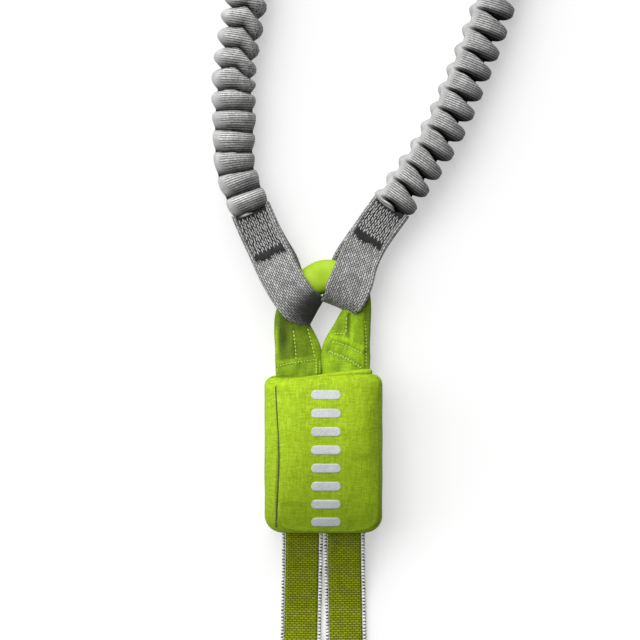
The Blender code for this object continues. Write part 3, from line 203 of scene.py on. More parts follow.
# The lower loops' front layers: X and Y in millimetres, the turn of the width in degrees, and as shares the
# sinking to the load loop's height, the opening round it and the width
LEFT_LOOP = (
    (-37.4, 126, 24, 0, 0, 1), (-33.3, 116.6, 25, 0, 0, 1),
    (-29.4, 108.2, 26, 0.2, 0.08, 1), (-25.6, 100, 26, 0.5, 0.4, 1),
    (-21.9, 92.6, 26, 0.9, 0.8, 1), (-16.9, 84.3, 27, 1, 0.97, 1),
    (-12.7, 79, 33, 1, 0.93, 1), (-8.6, 76.5, 48, 1, 0.66, 0.95),
    (-4.6, 74.8, 60, 1, 0.25, 0.82), (-4.4, 74.2, 61, 1, 0, 0.8),
)
RIGHT_LOOP = (
    (34.8, 128.5, -36, 0, 0, 1), (27.2, 118, -35, 0, 0, 1),
    (21.8, 109.2, -31, 0.2, 0.08, 1), (17.9, 100.1, -25, 0.6, 0.56, 1),
    (15.6, 93.1, -20, 1, 0.98, 1.05), (13, 86.8, -20, 1, 1.01, 1.07),
    (10, 80.9, -20, 0.9, 0.95, 1.02), (7.5, 78.9, -20, 0.4, 0.5, 0.87),
    (5.2, 78.6, -21, 0, 0, 0.68),
)

# The load loop, as shares: across, beyond the pouch, rise to the mouth, width, and growth to the apex
LOAD_ROUTE_SHARES = (
    (-0.72, -0.26, 1, 0.97, 0), (-0.72, 0, 1, 0.97, 0), (-0.733, 0.23, 0.61, 1, 0.1),
    (-0.9, 0.446, 0.2, 0.81, 0.25), (-0.95, 0.613, 0, 0.64, 0.4),
    (-0.69, 0.792, 0, 0.61, 0.75), (-0.33, 0.918, 0, 0.67, 0.95), (0.06, 0.972, 0, 0.71, 1),
    (0.48, 0.949, 0, 0.67, 0.95), (0.9, 0.855, 0, 0.59, 0.75), (1, 0.68, 0, 0.58, 0.45),
    (0.85, 0.465, 0.18, 0.79, 0.25), (0.66, 0.23, 0.61, 1.04, 0.1), (0.65, 0, 1, 1.01, 0),
    (0.65, -0.26, 1, 1.01, 0),
)
APEX_START = 5
APEX_END = 9

# The harness loop's left strand, as shares: across, beyond the pouch, height, and its lift in degrees
TIE_IN_ROUTE_SHARES = (
    (0.917, -0.09, 1.18, 0), (0.917, 0, 1, 0), (0.933, 0.13, 0.54, 0), (0.967, 0.267, 0.2, 0),
    (1, 0.412, 0, 0), (1.017, 0.527, 0, 18), (1, 0.626, 0, 52), (0.967, 0.725, 0, 80),
    (0.917, 0.817, 0, 90), (0.917, 0.908, 0, 90), (0.833, 0.957, 0, 90), (0.583, 0.99, 0, 90),
    (0.25, 1, 0, 90),
)


def smooth_through(rows, per_span):
    """Reads a smooth curve through rows of numbers, with so many points from each row to the next."""
    made = []
    last = len(rows) - 1
    for i in range(last):
        before, start = rows[max(i - 1, 0)], rows[i]
        end, after = rows[i + 1], rows[min(i + 2, last)]
        for k in range(per_span):
            t = k / per_span
            made.append(
                tuple(
                    b + (c - a) * t / 2 + (a - 2.5 * b + 2 * c - d / 2) * t * t
                    + (1.5 * b - a / 2 - 1.5 * c + d / 2) * t * t * t
                    for a, b, c, d in zip(before, start, end, after)
                )
            )
    return made + [tuple(rows[last])]


def lengths_along(points):
    """The way along a line to each of its points."""
    lengths = [0.0]
    for a, b in zip(points, points[1:]):
        lengths.append(lengths[-1] + (b - a).length)
    return lengths


def even_places(lengths, step):
    """Places an even step apart along a line, both ends kept: each one's span and its share of that."""
    count = max(2, round(lengths[-1] / step))
    made, j = [], 0
    for i in range(count + 1):
        wanted = lengths[-1] * i / count
        while j < len(lengths) - 2 and lengths[j + 1] < wanted:
            j += 1
        made.append((j, (wanted - lengths[j]) / (lengths[j + 1] - lengths[j])))
    return made


def spaced_along(points, step):
    """Points an even step apart along a line."""
    return [
        points[j].lerp(points[j + 1], share)
        for j, share in even_places(lengths_along(points), step)
    ]


def tangents(points):
    """The line's direction at each of its points."""
    ends = [points[0]] + list(points) + [points[-1]]
    return [(ends[i + 2] - ends[i]).normalized() for i in range(len(points))]


def eased(low, high, value):
    """0 below low, 1 above high and a smooth rise between them."""
    share = min(1.0, max(0.0, (value - low) / (high - low)))
    return share * share * (3 - 2 * share)


def bump_at(value, centre, half_width):
    """1 at the centre, falling smoothly to 0 at a half width from it."""
    return 1 - eased(0, half_width, abs(value - centre))


def add_piece(name, form, finishes, body=LANYARD, slot=None, replaces=(), smooth=True):
    """Makes a piece from a bmesh, in its finishes, and lets it ride on a body."""
    mesh = bpy.data.meshes.new(name)
    form.to_mesh(mesh)
    form.free()
    for finish in finishes if isinstance(finishes, (list, tuple)) else [finishes]:
        mesh.materials.append(finish)
    if smooth:
        mesh.shade_smooth()
    piece = bpy.data.objects.new(name, mesh)
    bpy.context.scene.collection.objects.link(piece)
    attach(piece, body)
    if replaces:
        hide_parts(*replaces)
    return piece


def wrapped_form(along, around, place, along_ways, around_ways, closed=True, capped=True):
    """A grid laid on a surface: place gives the point for a column along and a row around.

    Its UV map is in metres, along the piece and around it: a way is a whole length or the way to each column
    or row. A closed one is welded into a tube.
    """
    form = bmesh.new()
    uv = form.loops.layers.uv.new(WEAVE_MAP)
    bmesh.ops.create_grid(form, x_segments=along, y_segments=around, size=0.5)
    places = {}
    for vert in form.verts:
        i = round((vert.co.x + 0.5) * along)
        j = round((vert.co.y + 0.5) * around)
        places[vert] = (
            along_ways[i] if isinstance(along_ways, list) else i / along * along_ways,
            around_ways[j] if isinstance(around_ways, list) else j / around * around_ways,
        )
        vert.co = place(i, j % around if closed else j)
    for face in form.faces:
        for loop in face.loops:
            loop[uv].uv = places[loop.vert]
    if closed:
        bmesh.ops.remove_doubles(form, verts=form.verts, dist=WELD)
        if capped:
            rims = [edge for edge in form.edges if edge.is_boundary]
            filled = bmesh.ops.holes_fill(form, edges=rims, sides=0)["faces"]
            for face in filled:
                for loop in face.loops:
                    loop[uv].uv = (loop.vert.co.x, loop.vert.co.z)
        bmesh.ops.recalc_face_normals(form, faces=form.faces)
    return form


def with_modifiers_applied(piece):
    """Makes what the piece's modifiers show its own mesh."""
    bpy.context.view_layer.update()
    shown = piece.evaluated_get(bpy.context.evaluated_depsgraph_get())
    mesh = bpy.data.meshes.new_from_object(shown)
    piece.modifiers.clear()
    piece.data = mesh


def thickened(piece, wall, offset=-1):
    """Gives an open surface a wall."""
    shell = piece.modifiers.new("Wall", "SOLIDIFY")
    shell.thickness = wall
    shell.offset = offset
    shell.use_even_offset = True
    return piece


def cut_mouth(form, low, high):
    """Cuts a rectangular mouth in a surface whose ends face along Y."""
    for axis in (SIDE_X, UP_Z):
        for corner in (Vector(low), Vector(high)):
            bmesh.ops.bisect_plane(
                form, geom=form.verts[:] + form.edges[:] + form.faces[:],
                plane_co=axis * corner.dot(axis), plane_no=axis,
            )
    inside = [
        face for face in form.faces
        if all(low[k] < face.calc_center_median()[k] < high[k] for k in range(3))
    ]
    bmesh.ops.delete(form, geom=inside, context="FACES")


def strap_point(across, half_width, half_thickness):
    """A point of a webbing's cross-section at a share of the way round it, with rounded edges."""
    radius = half_thickness
    flat = 2 * (half_width - radius)
    rim = math.pi * radius
    way = across * 2 * (flat + rim)
    if way < flat:
        return (half_width - radius - way, half_thickness)
    way -= flat
    if way < rim:
        turn = way / radius
        return (radius - half_width - radius * math.sin(turn), radius * math.cos(turn))
    way -= rim
    if way < flat:
        return (radius - half_width + way, -half_thickness)
    turn = (way - flat) / radius
    return (half_width - radius + radius * math.sin(turn), -radius * math.cos(turn))


def width_at(turn_degrees, lift_degrees=0.0):
    """The direction of a webbing's width, turned in plan and lifted from the floor."""
    turn, lift = math.radians(turn_degrees), math.radians(lift_degrees)
    return Vector(
        (math.cos(turn) * math.cos(lift), math.sin(turn) * math.cos(lift), math.sin(lift))
    )


def strap_stations(rows, step):
    """Stations an even step apart along rows of x, y, z, width direction and half width."""
    lengths = lengths_along([Vector(row[:3]) for row in rows])
    made = [
        [a + (b - a) * share for a, b in zip(rows[j], rows[j + 1])]
        for j, share in even_places(lengths, step)
    ]
    centres = [Vector(row[:3]) for row in made]
    stations = []
    for row, centre, along in zip(made, centres, tangents(centres)):
        width = Vector(row[3:6])
        width = (width - along * width.dot(along)).normalized()
        stations.append((centre, width, along.cross(width), row[6]))
    return stations, lengths[-1]


def linear(hex_colour):
    """An sRGB hex colour as linear numbers."""
    made = []
    for start in (0, 2, 4):
        share = int(hex_colour[start : start + 2], 16) / 255
        made.append(share / 12.92 if share <= 0.04045 else ((share + 0.055) / 1.055) ** 2.4)
    return (*made, 1.0)


def add_node(tree, kind, settings=None, **links):
    """Adds a node. A link's value is another node's output or the number or colour of the input."""
    node = tree.nodes.new(kind)
    for name, value in (settings or {}).items():
        setattr(node, name, value)
    for name, value in links.items():
        socket = node.inputs[int(name[1:])] if name[0] == "i" and name[1:].isdigit() else (
            node.inputs[name.replace("_", " ")]
        )
        if isinstance(value, bpy.types.NodeSocket):
            tree.links.new(value, socket)
        else:
            socket.default_value = value
    return node


def new_finish(name, roughness, metallic=0.0, sheen=0.0, specular=0.5):
    """An empty material with its constants on the shader's own sockets."""
    finish = bpy.data.materials.new(name)
    finish.use_nodes = True
    tree = finish.node_tree
    shader = tree.nodes["Principled BSDF"]
    shader.inputs["Roughness"].default_value = roughness
    shader.inputs["Metallic"].default_value = metallic
    shader.inputs["Specular IOR Level"].default_value = specular
    if sheen:
        shader.inputs["Sheen Weight"].default_value = sheen
        shader.inputs["Sheen Roughness"].default_value = 0.4
    return finish, tree


def finished(finish, relief, depth, strength=1.0, **driven):
    """Gives a material its relief and what drives the shader's other sockets, and hands it back."""
    tree = finish.node_tree
    shader = tree.nodes["Principled BSDF"]
    bump = add_node(tree, "ShaderNodeBump", Strength=strength, Distance=depth, Height=relief)
    driven["Normal"] = bump.outputs["Normal"]
    for name, value in driven.items():
        tree.links.new(value, shader.inputs[name.replace("_", " ")])
    return finish


def woven_floats(tree, surface, sizes, colours, turn=0, offset=0.5):
    """Yarn floats in staggered rows, as a woven surface shows them, with dark gaps.

    Sizes are a float's length, the yarn's width and the gap. Colours are two of the yarn and the gap's.
    """
    turned = add_node(
        tree, "ShaderNodeMapping", Vector=surface, Rotation=(0, 0, math.radians(turn))
    )
    return add_node(
        tree, "ShaderNodeTexBrick", {"offset": offset, "squash": 1.0},
        Vector=turned.outputs["Vector"], Color1=colours[0], Color2=colours[1], Mortar=colours[2],
        Scale=1.0, Mortar_Size=sizes[2], Mortar_Smooth=0.6, Bias=0.0,
        Brick_Width=sizes[0], Row_Height=sizes[1],
    )


def patches(tree, place, size, detail, low, high, to_low, to_high, blend=SMOOTH):
    """Patches about so many metres across, brought from two levels of a noise to two others."""
    spots = add_node(tree, "ShaderNodeTexNoise", Vector=place, Scale=1 / size, Detail=detail)
    return add_node(
        tree, "ShaderNodeMapRange", blend, Value=spots.outputs["Fac"],
        From_Min=low, From_Max=high, To_Min=to_low, To_Max=to_high,
    ).outputs["Result"]


def shaded_tone(tree, tone):
    """Painted shade for cloth that lies deep in a fold, by how open its vertices are."""
    openness = add_node(tree, "ShaderNodeAttribute", {"attribute_name": "openness"})
    return add_node(
        tree, "ShaderNodeMix", MULTIPLY, i0=1.0, i6=tone, i7=openness.outputs["Fac"]
    ).outputs[2]


def webbing_finish(
    name, colours, sizes, depth, sheen=0.0, turn=0, shaded=False, roughness=0.72, specular=0.35,
    wear=(6 * MM, 4, 0.35, 0.7, 0.86, 1.06),
):
    """Webbing: staggered yarn floats with dark gaps, and slight wear in patches."""
    finish, tree = new_finish(name, roughness, sheen=sheen, specular=specular)
    surface = add_node(tree, "ShaderNodeUVMap", {"uv_map": WEAVE_MAP}).outputs["UV"]
    weave = woven_floats(tree, surface, sizes, [linear(colour) for colour in colours], turn)
    tone = add_node(
        tree, "ShaderNodeMix", MULTIPLY, i0=1.0, i6=weave.outputs["Color"],
        i7=patches(tree, surface, *wear),
    ).outputs[2]
    if shaded:
        tone = shaded_tone(tree, tone)
    raised = add_node(
        tree, "ShaderNodeMapRange", SMOOTH, Value=weave.outputs["Fac"],
        From_Min=0, From_Max=1, To_Min=1, To_Max=0,
    )
    return finished(finish, raised.outputs["Result"], depth, Base_Color=tone)


def gathered_finish():
    """The gathered webbing: lines of yarn along each gather, a smooth pale selvage and a frayed fold whose
    dark speckle is partly painted shade.

    Its vertices give painted shade by how open the cloth lies to the light, and say where it is selvage or
    frayed.
    """
    finish, tree = new_finish("gathered grey polyamide webbing", 0.7)
    surface = add_node(tree, "ShaderNodeUVMap", {"uv_map": WEAVE_MAP}).outputs["UV"]
    place = add_node(tree, "ShaderNodeTexCoord").outputs["Object"]
    open_share, plain_share, fray_and_shade_share = (
        add_node(tree, "ShaderNodeAttribute", {"attribute_name": name}).outputs["Fac"]
        for name in SLEEVE_LOOKS
    )
    lines, selvage = (
        woven_floats(tree, surface, sizes, [linear(colour) for colour in colours], 90, offset)
        for sizes, colours, offset in (
            ((GATHER_MIDLINE, 1.76 * MM, 0.34 * MM), ("DADAD9", "BABAB9", "3A3A3A"), 0.0),
            ((1.1 * MM, 0.5 * MM, 0.08 * MM), ("CDCDCC", "BCBCBB", "8A8A8A"), 0.5),
        )
    )
    fray_and_shade = patches(tree, place, 0.75 * MM, 1, 0.4, 0.62, 0, 1)
    frayed_and_shaded = add_node(
        tree, "ShaderNodeMix", MIX, i0=fray_and_shade, i6=linear("3A3A3A"), i7=linear("D6D6D5")
    ).outputs[2]
    tone = lines.outputs["Color"]
    for way, share, colour in (
        (MULTIPLY, 1.0, patches(tree, place, 1.1 * MM, 1, 0.38, 0.62, 0.74, 1.1)),
        (MIX, plain_share, selvage.outputs["Color"]),
        (MIX, fray_and_shade_share, frayed_and_shaded),
        (MULTIPLY, 1.0, patches(tree, place, 5 * MM, 4, 0.35, 0.7, 0.84, 1.06)),
        # painted shade and highlight from the vertices' openness
        (MULTIPLY, 1.0, open_share),
    ):
        tone = add_node(tree, "ShaderNodeMix", way, i0=share, i6=tone, i7=colour).outputs[2]
    relief = lines.outputs["Color"]
    for share, height in ((plain_share, (0.6, 0.6, 0.6, 1)), (fray_and_shade_share, fray_and_shade)):
        relief = add_node(tree, "ShaderNodeMix", MIX, i0=share, i6=relief, i7=height).outputs[2]
    gloss = add_node(
        tree, "ShaderNodeMapRange", SMOOTH, Value=open_share,
        From_Min=0, From_Max=1, To_Min=0, To_Max=0.4,
    )
    return finished(
        finish, relief, 0.4 * MM, Base_Color=tone, Specular_IOR_Level=gloss.outputs["Result"]
    )


def canvas_finish(name, ground, dark, light, thread=0.62 * MM, shaded=False, fade=None):
    """Melange canvas: single threads both ways, each a little lighter or darker over some millimetres.

    A fade gives two places along Y and how much light the cloth keeps at each.
    """
    finish, tree = new_finish(name, 0.7, specular=0.2)
    surface = add_node(tree, "ShaderNodeUVMap", {"uv_map": WEAVE_MAP}).outputs["UV"]
    tones = [
        woven_floats(
            tree, surface, (length, thread, 0.06 * MM), [linear(c) for c in (light, dark, dark)], turn
        ).outputs["Color"]
        for turn, length in ((0, 4.2 * MM), (90, 3.4 * MM))
    ]
    tone = tones[0]
    for share, colour in (
        (patches(tree, surface, 1.2 * MM, 2, 0.42, 0.58, 0.15, 0.85), tones[1]),
        (patches(tree, surface, 9 * MM, 3, 0.35, 0.65, 0.2, 0.45), linear(ground)),
    ):
        tone = add_node(tree, "ShaderNodeMix", MIX, i0=share, i6=tone, i7=colour).outputs[2]
    if shaded:
        tone = shaded_tone(tree, tone)
    if fade:
        place = add_node(tree, "ShaderNodeTexCoord").outputs["Object"]
        kept = add_node(
            tree, "ShaderNodeMapRange", SMOOTH,
            Value=add_node(tree, "ShaderNodeSeparateXYZ", Vector=place).outputs["Y"],
            From_Min=fade[0], From_Max=fade[1], To_Min=fade[2], To_Max=fade[3],
        )
        tone = add_node(
            tree, "ShaderNodeMix", MULTIPLY, i0=1.0, i6=tone, i7=kept.outputs["Result"]
        ).outputs[2]
    weave = woven_floats(
        tree, surface, (2 * thread, thread, 0.12 * MM),
        ((1, 1, 1, 1), (0.7, 0.7, 0.7, 1), (0, 0, 0, 1)),
    )
    return finished(finish, weave.outputs["Color"], 0.12 * MM, 0.8, Base_Color=tone)


def spotted_finish(
    name, roughness, colours, spots, grain, depth, metallic=0.0, sheen=0.0, specular=0.5
):
    """A surface without a weave: spots from one colour to another, and a grain in relief.

    The grain is its size and detail. A metal is also a little smoother where it is spotted.
    """
    finish, tree = new_finish(name, roughness, metallic, sheen, specular)
    place = add_node(tree, "ShaderNodeTexCoord").outputs["Object"]
    first, second = (linear(colour) for colour in colours)
    tone = add_node(
        tree, "ShaderNodeMix", MIX, i0=patches(tree, place, *spots), i6=first, i7=second
    )
    driven = {"Base_Color": tone.outputs[2]}
    if metallic:
        driven["Roughness"] = patches(
            tree, place, *spots[:2], 0.3, 0.7, roughness * 1.25, roughness * 0.85
        )
    relief = add_node(
        tree, "ShaderNodeTexNoise", Vector=place, Scale=1 / grain[0], Detail=grain[1]
    )
    return finished(finish, relief.outputs["Fac"], depth, **driven)


def make_finishes():
    """All finishes by a short name."""
    made = {}
    # Solution-dyed polyamide tubular webbing, gathered: rows of pale grey yarn round each gather with
    # dark gaps. The real rows are finer, and are drawn 1.76 mm apart, as coarse as they need to show.
    made["gathered"] = gathered_finish()
    # The same webbing where it lies flat: tighter rows, 1 mm apart, which are also coarser than real
    # Painted shade from each loop's vertices darkens it towards its fold
    made["flat_grey"] = webbing_finish(
        "flat grey polyamide webbing", ("CACAC9", "9A9A99", "1E1E1E"),
        (2.2 * MM, 1.0 * MM, 0.19 * MM), 0.35 * MM, 0.05, shaded=True,
    )
    # Painted shade on the webbing between the stitches that close the loop, so that the pale thread stands
    # out
    made["stitched_ground"] = webbing_finish(
        "grey webbing in painted shade under stitches", ("444444", "2A2A2A", "060606"),
        (1.6 * MM, 0.8 * MM, 0.24 * MM), 0.3 * MM,
    )
    # Bonded polyester sewing thread: matt, and its twist shows as fine darker spots
    for key, name, colour in (
        ("grey_thread", "pale grey bonded thread", "BCBCBB"),
        ("lime_thread", "pale lime bonded thread", "C4DC5A"),
        ("dark_thread", "dark olive bonded thread", "2C3A06"),
        ("white_thread", "white bonded thread", "D8D8D4"),
        ("picot", "white picot thread", "F2F2F0"),
    ):
        made[key] = spotted_finish(
            name, 0.6, ("3C3C3C", colour), (0.8 * MM, 2, 0.3, 0.7, 0.75, 1.0), (0.8 * MM, 2),
            0.15 * MM, sheen=0.2,
        )
    # Painted shade deep in a gap of the webbing, where hardly any light comes: almost black, with a few grey
    # yarn ends
    made["slit"] = spotted_finish(
        "painted shade in the webbing's gap", 0.9, ("080808", "2C2C2C"),
        (0.7 * MM, 3, 0.45, 0.75, 0, 1), (0.7 * MM, 3), 0.3 * MM,
    )
    # Melange polyester canvas, piece-dyed lime: lighter and darker threads crossing. The fade is painted
    # shade and not dye, for light that falls mostly on the pouch's upper end, and is kept weak so that
    # the cloth also suits other light.
    made["lime_canvas"] = canvas_finish(
        "lime melange canvas", "9ABA14", "80A006", "BCDC30", fade=(-36 * MM, 34 * MM, 0.85, 1.1),
    )
    # Coated lime fabric of the load loop's covers: the same canvas, finer and a little darker, with painted
    # shade from its vertices
    made["lime_cover"] = canvas_finish(
        "lime cover fabric", "90B612", "74960A", "AED42A", 0.5 * MM, shaded=True
    )
    # Polyurethane-coated sleeve, smooth: an even lime with a soft gloss
    made["guard"] = spotted_finish(
        "coated lime guard", 0.6, ("9CC11E", "AACD32"), (8 * MM, 3, 0.3, 0.7, 0, 1), (0.6 * MM, 2),
        0.03 * MM, specular=0.25,
    )
    # Polyamide webbing of lime warp and darker weft: ribs across it, 1.25 mm apart, with dark gaps
    made["olive"] = webbing_finish(
        "green ribbed webbing", ("96A40C", "828E0A", "464E04"), (2.3 * MM, 1.25 * MM, 0.22 * MM),
        0.25 * MM, 0.0, 90, False, 0.75, 0.2, (7 * MM, 3, 0.3, 0.7, 0.85, 1.05),
    )
    # Screen-printed ink on canvas: light grey, uneven where the threads show through
    made["print"] = spotted_finish(
        "light grey screen print", 0.6, ("B9BEBC", "D3D7D6"), (0.7 * MM, 3, 0.3, 0.75, 0, 1),
        (0.7 * MM, 3), 0.08 * MM,
    )
    # Undyed polyester webbing that tears in a fall: off-white with fine rows
    made["tear"] = webbing_finish(
        "white tear webbing", ("D6D6D0", "C6C6C0", "8E8E88"), (2.4 * MM, 1.1 * MM, 0.12 * MM),
        0.2 * MM, 0.2,
    )
    # Rubber core under a polyester braid: off-white floats that slant across it
    made["elastic"] = webbing_finish(
        "braided elastic core", ("CFCFC8", "B9B9B2", "76766F"), (2.0 * MM, 1.0 * MM, 0.12 * MM),
        0.25 * MM, 0.2, 35,
    )
    # Moulded black rubber: matt, with a fine mould grain
    made["rubber"] = spotted_finish(
        "moulded black rubber", 0.62, ("1B1B1B", "2A2A2A"), (0.5 * MM, 3, 0, 1, 0, 1, LINEAR),
        (0.5 * MM, 3), 0.05 * MM,
    )
    # Forged metals: an even colour, slightly dulled by handling. The anodised ones are blasted and satin,
    # and the polished and stainless ones are smooth and bright.
    for key, name, colour, roughness, depth in (
        ("anodised", "grey anodised aluminium", "6E7174", 0.42, 0.02 * MM),
        ("lime_metal", "lime anodised aluminium", "93B82A", 0.36, 0.02 * MM),
        ("bright", "polished aluminium", "C9CBCC", 0.22, 0.006 * MM),
        ("steel", "stainless steel", "B5B3AF", 0.28, 0.006 * MM),
    ):
        made[key] = spotted_finish(
            name, roughness, ("4A4A4A", colour), (5 * MM, 4, 0.4, 0.7, 0.88, 1.0), (0.4 * MM, 2),
            depth, metallic=1.0,
        )
    return made


def seen_by(tree, *rays):
    """1 for rays of these kinds and 0 for all others."""
    path = add_node(tree, "ShaderNodeLightPath")
    seen = path.outputs[rays[0]]
    for ray in rays[1:]:
        seen = add_node(
            tree, "ShaderNodeMath", {"operation": "MAXIMUM"}, i0=seen, i1=path.outputs[ray]
        ).outputs[0]
    return seen


def build_studio():
    """The camera, the white floor, the softboxes and the pale room."""
    lens = bpy.data.cameras.new("studio camera")
    lens.lens = CAMERA_LENS
    lens.sensor_width = CAMERA_SENSOR
    lens.clip_start = 0.05
    lens.clip_end = 20
    camera = bpy.data.objects.new("studio camera", lens)
    camera.location = (*VIEW_CENTRE, CAMERA_HEIGHT)
    bpy.context.scene.collection.objects.link(camera)
    bpy.context.scene.camera = camera

    form = bmesh.new()
    bmesh.ops.create_grid(form, x_segments=2, y_segments=2, size=FLOOR_HALF)
    mesh = bpy.data.meshes.new("studio floor")
    form.to_mesh(mesh)
    form.free()
    floor = bpy.data.objects.new("studio floor", mesh)
    bpy.context.scene.collection.objects.link(floor)
    mesh.materials.append(floor_finish())

    for name, direction, strength, angle in SOFTBOXES:
        softbox = bpy.data.lights.new(name, "SUN")
        softbox.energy = strength
        softbox.angle = math.radians(angle)
        lamp = bpy.data.objects.new(name, softbox)
        lamp.rotation_euler = Vector(direction).to_track_quat("Z", "Y").to_euler()
        bpy.context.scene.collection.objects.link(lamp)

    world = bpy.data.worlds.new("pale room")
    bpy.context.scene.world = world
    world.use_nodes = True
    tree = world.node_tree
    tree.nodes.clear()
    room, white = (
        add_node(tree, "ShaderNodeBackground", Color=(1, 1, 1, 1), Strength=strength).outputs[0]
        for strength in (ROOM_STRENGTH, 1.0)
    )
    either = add_node(
        tree, "ShaderNodeMixShader",
        i0=seen_by(tree, "Is Camera Ray", "Is Transmission Ray", "Is Glossy Ray"), i1=room, i2=white,
    )
    add_node(tree, "ShaderNodeOutputWorld", Surface=either.outputs[0])
    bpy.context.scene.view_settings.view_transform = "Standard"


def floor_finish():
    """White paper: the camera sees it white, with the lanyard's shadow, and it lights the lanyard less."""
    finish = bpy.data.materials.new("white studio paper")
    finish.use_nodes = True
    tree = finish.node_tree
    tree.nodes.clear()
    paper, dim = (
        add_node(tree, "ShaderNodeBsdfDiffuse", Color=(tone, tone, tone, 1)).outputs[0]
        for tone in (PAPER_TONE - PAPER_GLOW, PAPER_BOUNCE)
    )
    glow = add_node(tree, "ShaderNodeEmission", Color=(1, 1, 1, 1), Strength=PAPER_GLOW)
    bright = add_node(tree, "ShaderNodeAddShader", i0=paper, i1=glow.outputs[0])
    either = add_node(
        tree, "ShaderNodeMixShader",
        i0=seen_by(tree, "Is Camera Ray", "Is Glossy Ray"), i1=dim, i2=bright.outputs[0],
    )
    add_node(tree, "ShaderNodeOutputMaterial", Surface=either.outputs[0])
    return finish


def arm_line(route):
    """An arm's middle line, with a point for every ring of its sleeve."""
    rows = smooth_through([(x * MM, y * MM, ARM_HEIGHT) for x, y in route], 6)
    return spaced_along([Vector(row) for row in rows], RING_STEP)


def gather_height(share, floor, slope, lip, fullness=1.0):
    """A gather over one pitch from its lower groove, 0 there and 1 on its crest.

    Its groove's floor, its lower slope and its steep upper lip are shares of the pitch. A lower slope of
    less than 1 in fullness bulges.
    """
    rise = min(1.0, max(0.0, (share - floor) / slope))
    fall = min(1.0, (1 - share) / lip)
    return math.sin(math.pi / 2 * rise) ** fullness * math.sin(math.pi / 2 * fall) ** 0.6


def left_gathers(way, lateral):
    """Rolled gathers: level over most of the arm, and turned down at their right ends higher up.

    Gives the height, painted shade by how open the cloth lies to the light, and the shares of selvage and of
    frayed cloth, whose dark speckle is partly painted shade.
    """
    upper = eased(45 * MM, 90 * MM, way)
    drop = upper * (0.66 * eased(0.1, 1.15, lateral) - 0.1 * lateral)
    drop += (1 - upper) * 0.05 * lateral
    wander = 0.09 * noise.noise(Vector((way / (17 * MM), lateral * 1.2, 3.1)))
    phase = way / GATHER_PITCH + drop + wander - 0.08
    share = phase - math.floor(phase)
    height = gather_height(share, 0.15 - 0.11 * upper, 0.5, 0.22 + 0.2 * upper)
    side = abs(lateral) ** 5 * (1 - 0.8 * upper) + upper * 0.5 * eased(0.4, 1, lateral)
    height = height * (1 - side) + side * (0.76 - 0.16 * upper + (0.24 + 0.16 * upper) * height)
    narrow = 1 - 0.17 * (1 - eased(22 * MM, 62 * MM, way)) * lateral * lateral
    crease = 0.09 * noise.noise(Vector((way / (1.6 * MM), lateral * 2.6, 6.4)))
    # Frayed yarn ends on the right side, their dark speckle partly painted shade where the cloth turns from
    # the light
    fray_and_shade = 0.75 * eased(0.45, 0.85, lateral) * (0.3 + 0.7 * upper)
    # Painted shade, darkest in each cleft, and a painted highlight of up to 1.1 on the crests
    openness = (0.06 + 1.04 * eased(0.03, 0.4, share)) * eased(0, 0.03, 1 - share)
    openness = max(openness, 0.8 * fray_and_shade)
    return height * narrow + crease * fray_and_shade, openness, eased(0.45, 0.8, -lateral), fray_and_shade


def right_gathers(way, lateral):
    """Fat gathers that open to the right from a row of pinches near the left edge, given as on the left."""
    pinch = -0.74
    wander = 0.05 * noise.noise(Vector((way / (19 * MM), lateral * 1.3, 8.7)))
    phase = way / RIGHT_GATHER_PITCH + wander - 0.24 + 0.24 * eased(-0.3, 1, lateral)
    selvage = eased(0.45, 0.6, -lateral)
    share = phase - math.floor(phase)
    if lateral > pinch:
        opened = (lateral - pinch) / (1 - pinch)
        rounded = eased(0.5, 0.9, lateral)
        height = gather_height(
            share, 0.17 * opened, 0.06 + 0.3 * opened, 0.06 + 0.22 * opened**2, 1 - 0.4 * rounded
        )
        cleft = eased(-0.02, 0.14, opened)
        # Painted shade, darkest in each cleft, with the whole right arm painted at 0.84 of its colour
        openness = (0.02 + 0.98 * eased(0.06 * opened, 0.1 + 0.66 * opened, share)) ** 1.3
        openness *= 0.84 * eased(0, 0.02, 1 - share)
        return 1 - (1 - height) * cleft, 1 - (1 - openness) * cleft, selvage, 0.0
    tooth = math.sin(math.pi / 2 * abs(2 * share - 1)) ** 1.3
    return 0.97 - 0.6 * (1 - tooth) * eased(0, 0.8, (pinch - lateral) / (1 + pinch)), 1.0, selvage, 0.0


def build_sleeve(side, route, gathers, finishes):
    """The gathered tubular webbing of one arm."""
    line = arm_line(route)
    directions = tangents(line)
    length = lengths_along(line)[-1]
    close = 3.2 * MM
    rings = len(line) - 1
    looks = {}

    def place(i, j):
        turn = 2 * math.pi * j / SLEEVE_SIDES
        lateral, up = math.cos(turn), math.sin(turn)
        way = length * i / rings
        height, *look = gathers(way, lateral)
        radius = SLEEVE_GROOVE + (SLEEVE_CREST - SLEEVE_GROOVE) * height
        from_end = min(way, length - way)
        if from_end < close:
            closing = math.sqrt(max(0.0, 1 - ((close - from_end) / close) ** 2))
            radius *= 0.32 + 0.68 * closing
        right = directions[i].cross(UP_Z)
        point = line[i] + right * (radius * lateral) + UP_Z * (radius * up)
        looks[point.to_tuple(6)] = look
        return point

    form = wrapped_form(
        rings, SLEEVE_SIDES, place, length * SLEEVE_CLOTH_EXCESS, GATHER_MIDLINE
    )
    layers = [form.verts.layers.float.new(name) for name in SLEEVE_LOOKS]
    for vert in form.verts:
        for layer, value in zip(layers, looks.get(vert.co.to_tuple(6), (0.5, 0, 0))):
            vert[layer] = value
    sleeve = add_piece(
        f"gathered_sleeve_{side}", form, finishes["gathered"], slot="grey_webbing",
        replaces=(f"arm_{side}_sleeve",),
    )
    return sleeve, line, length


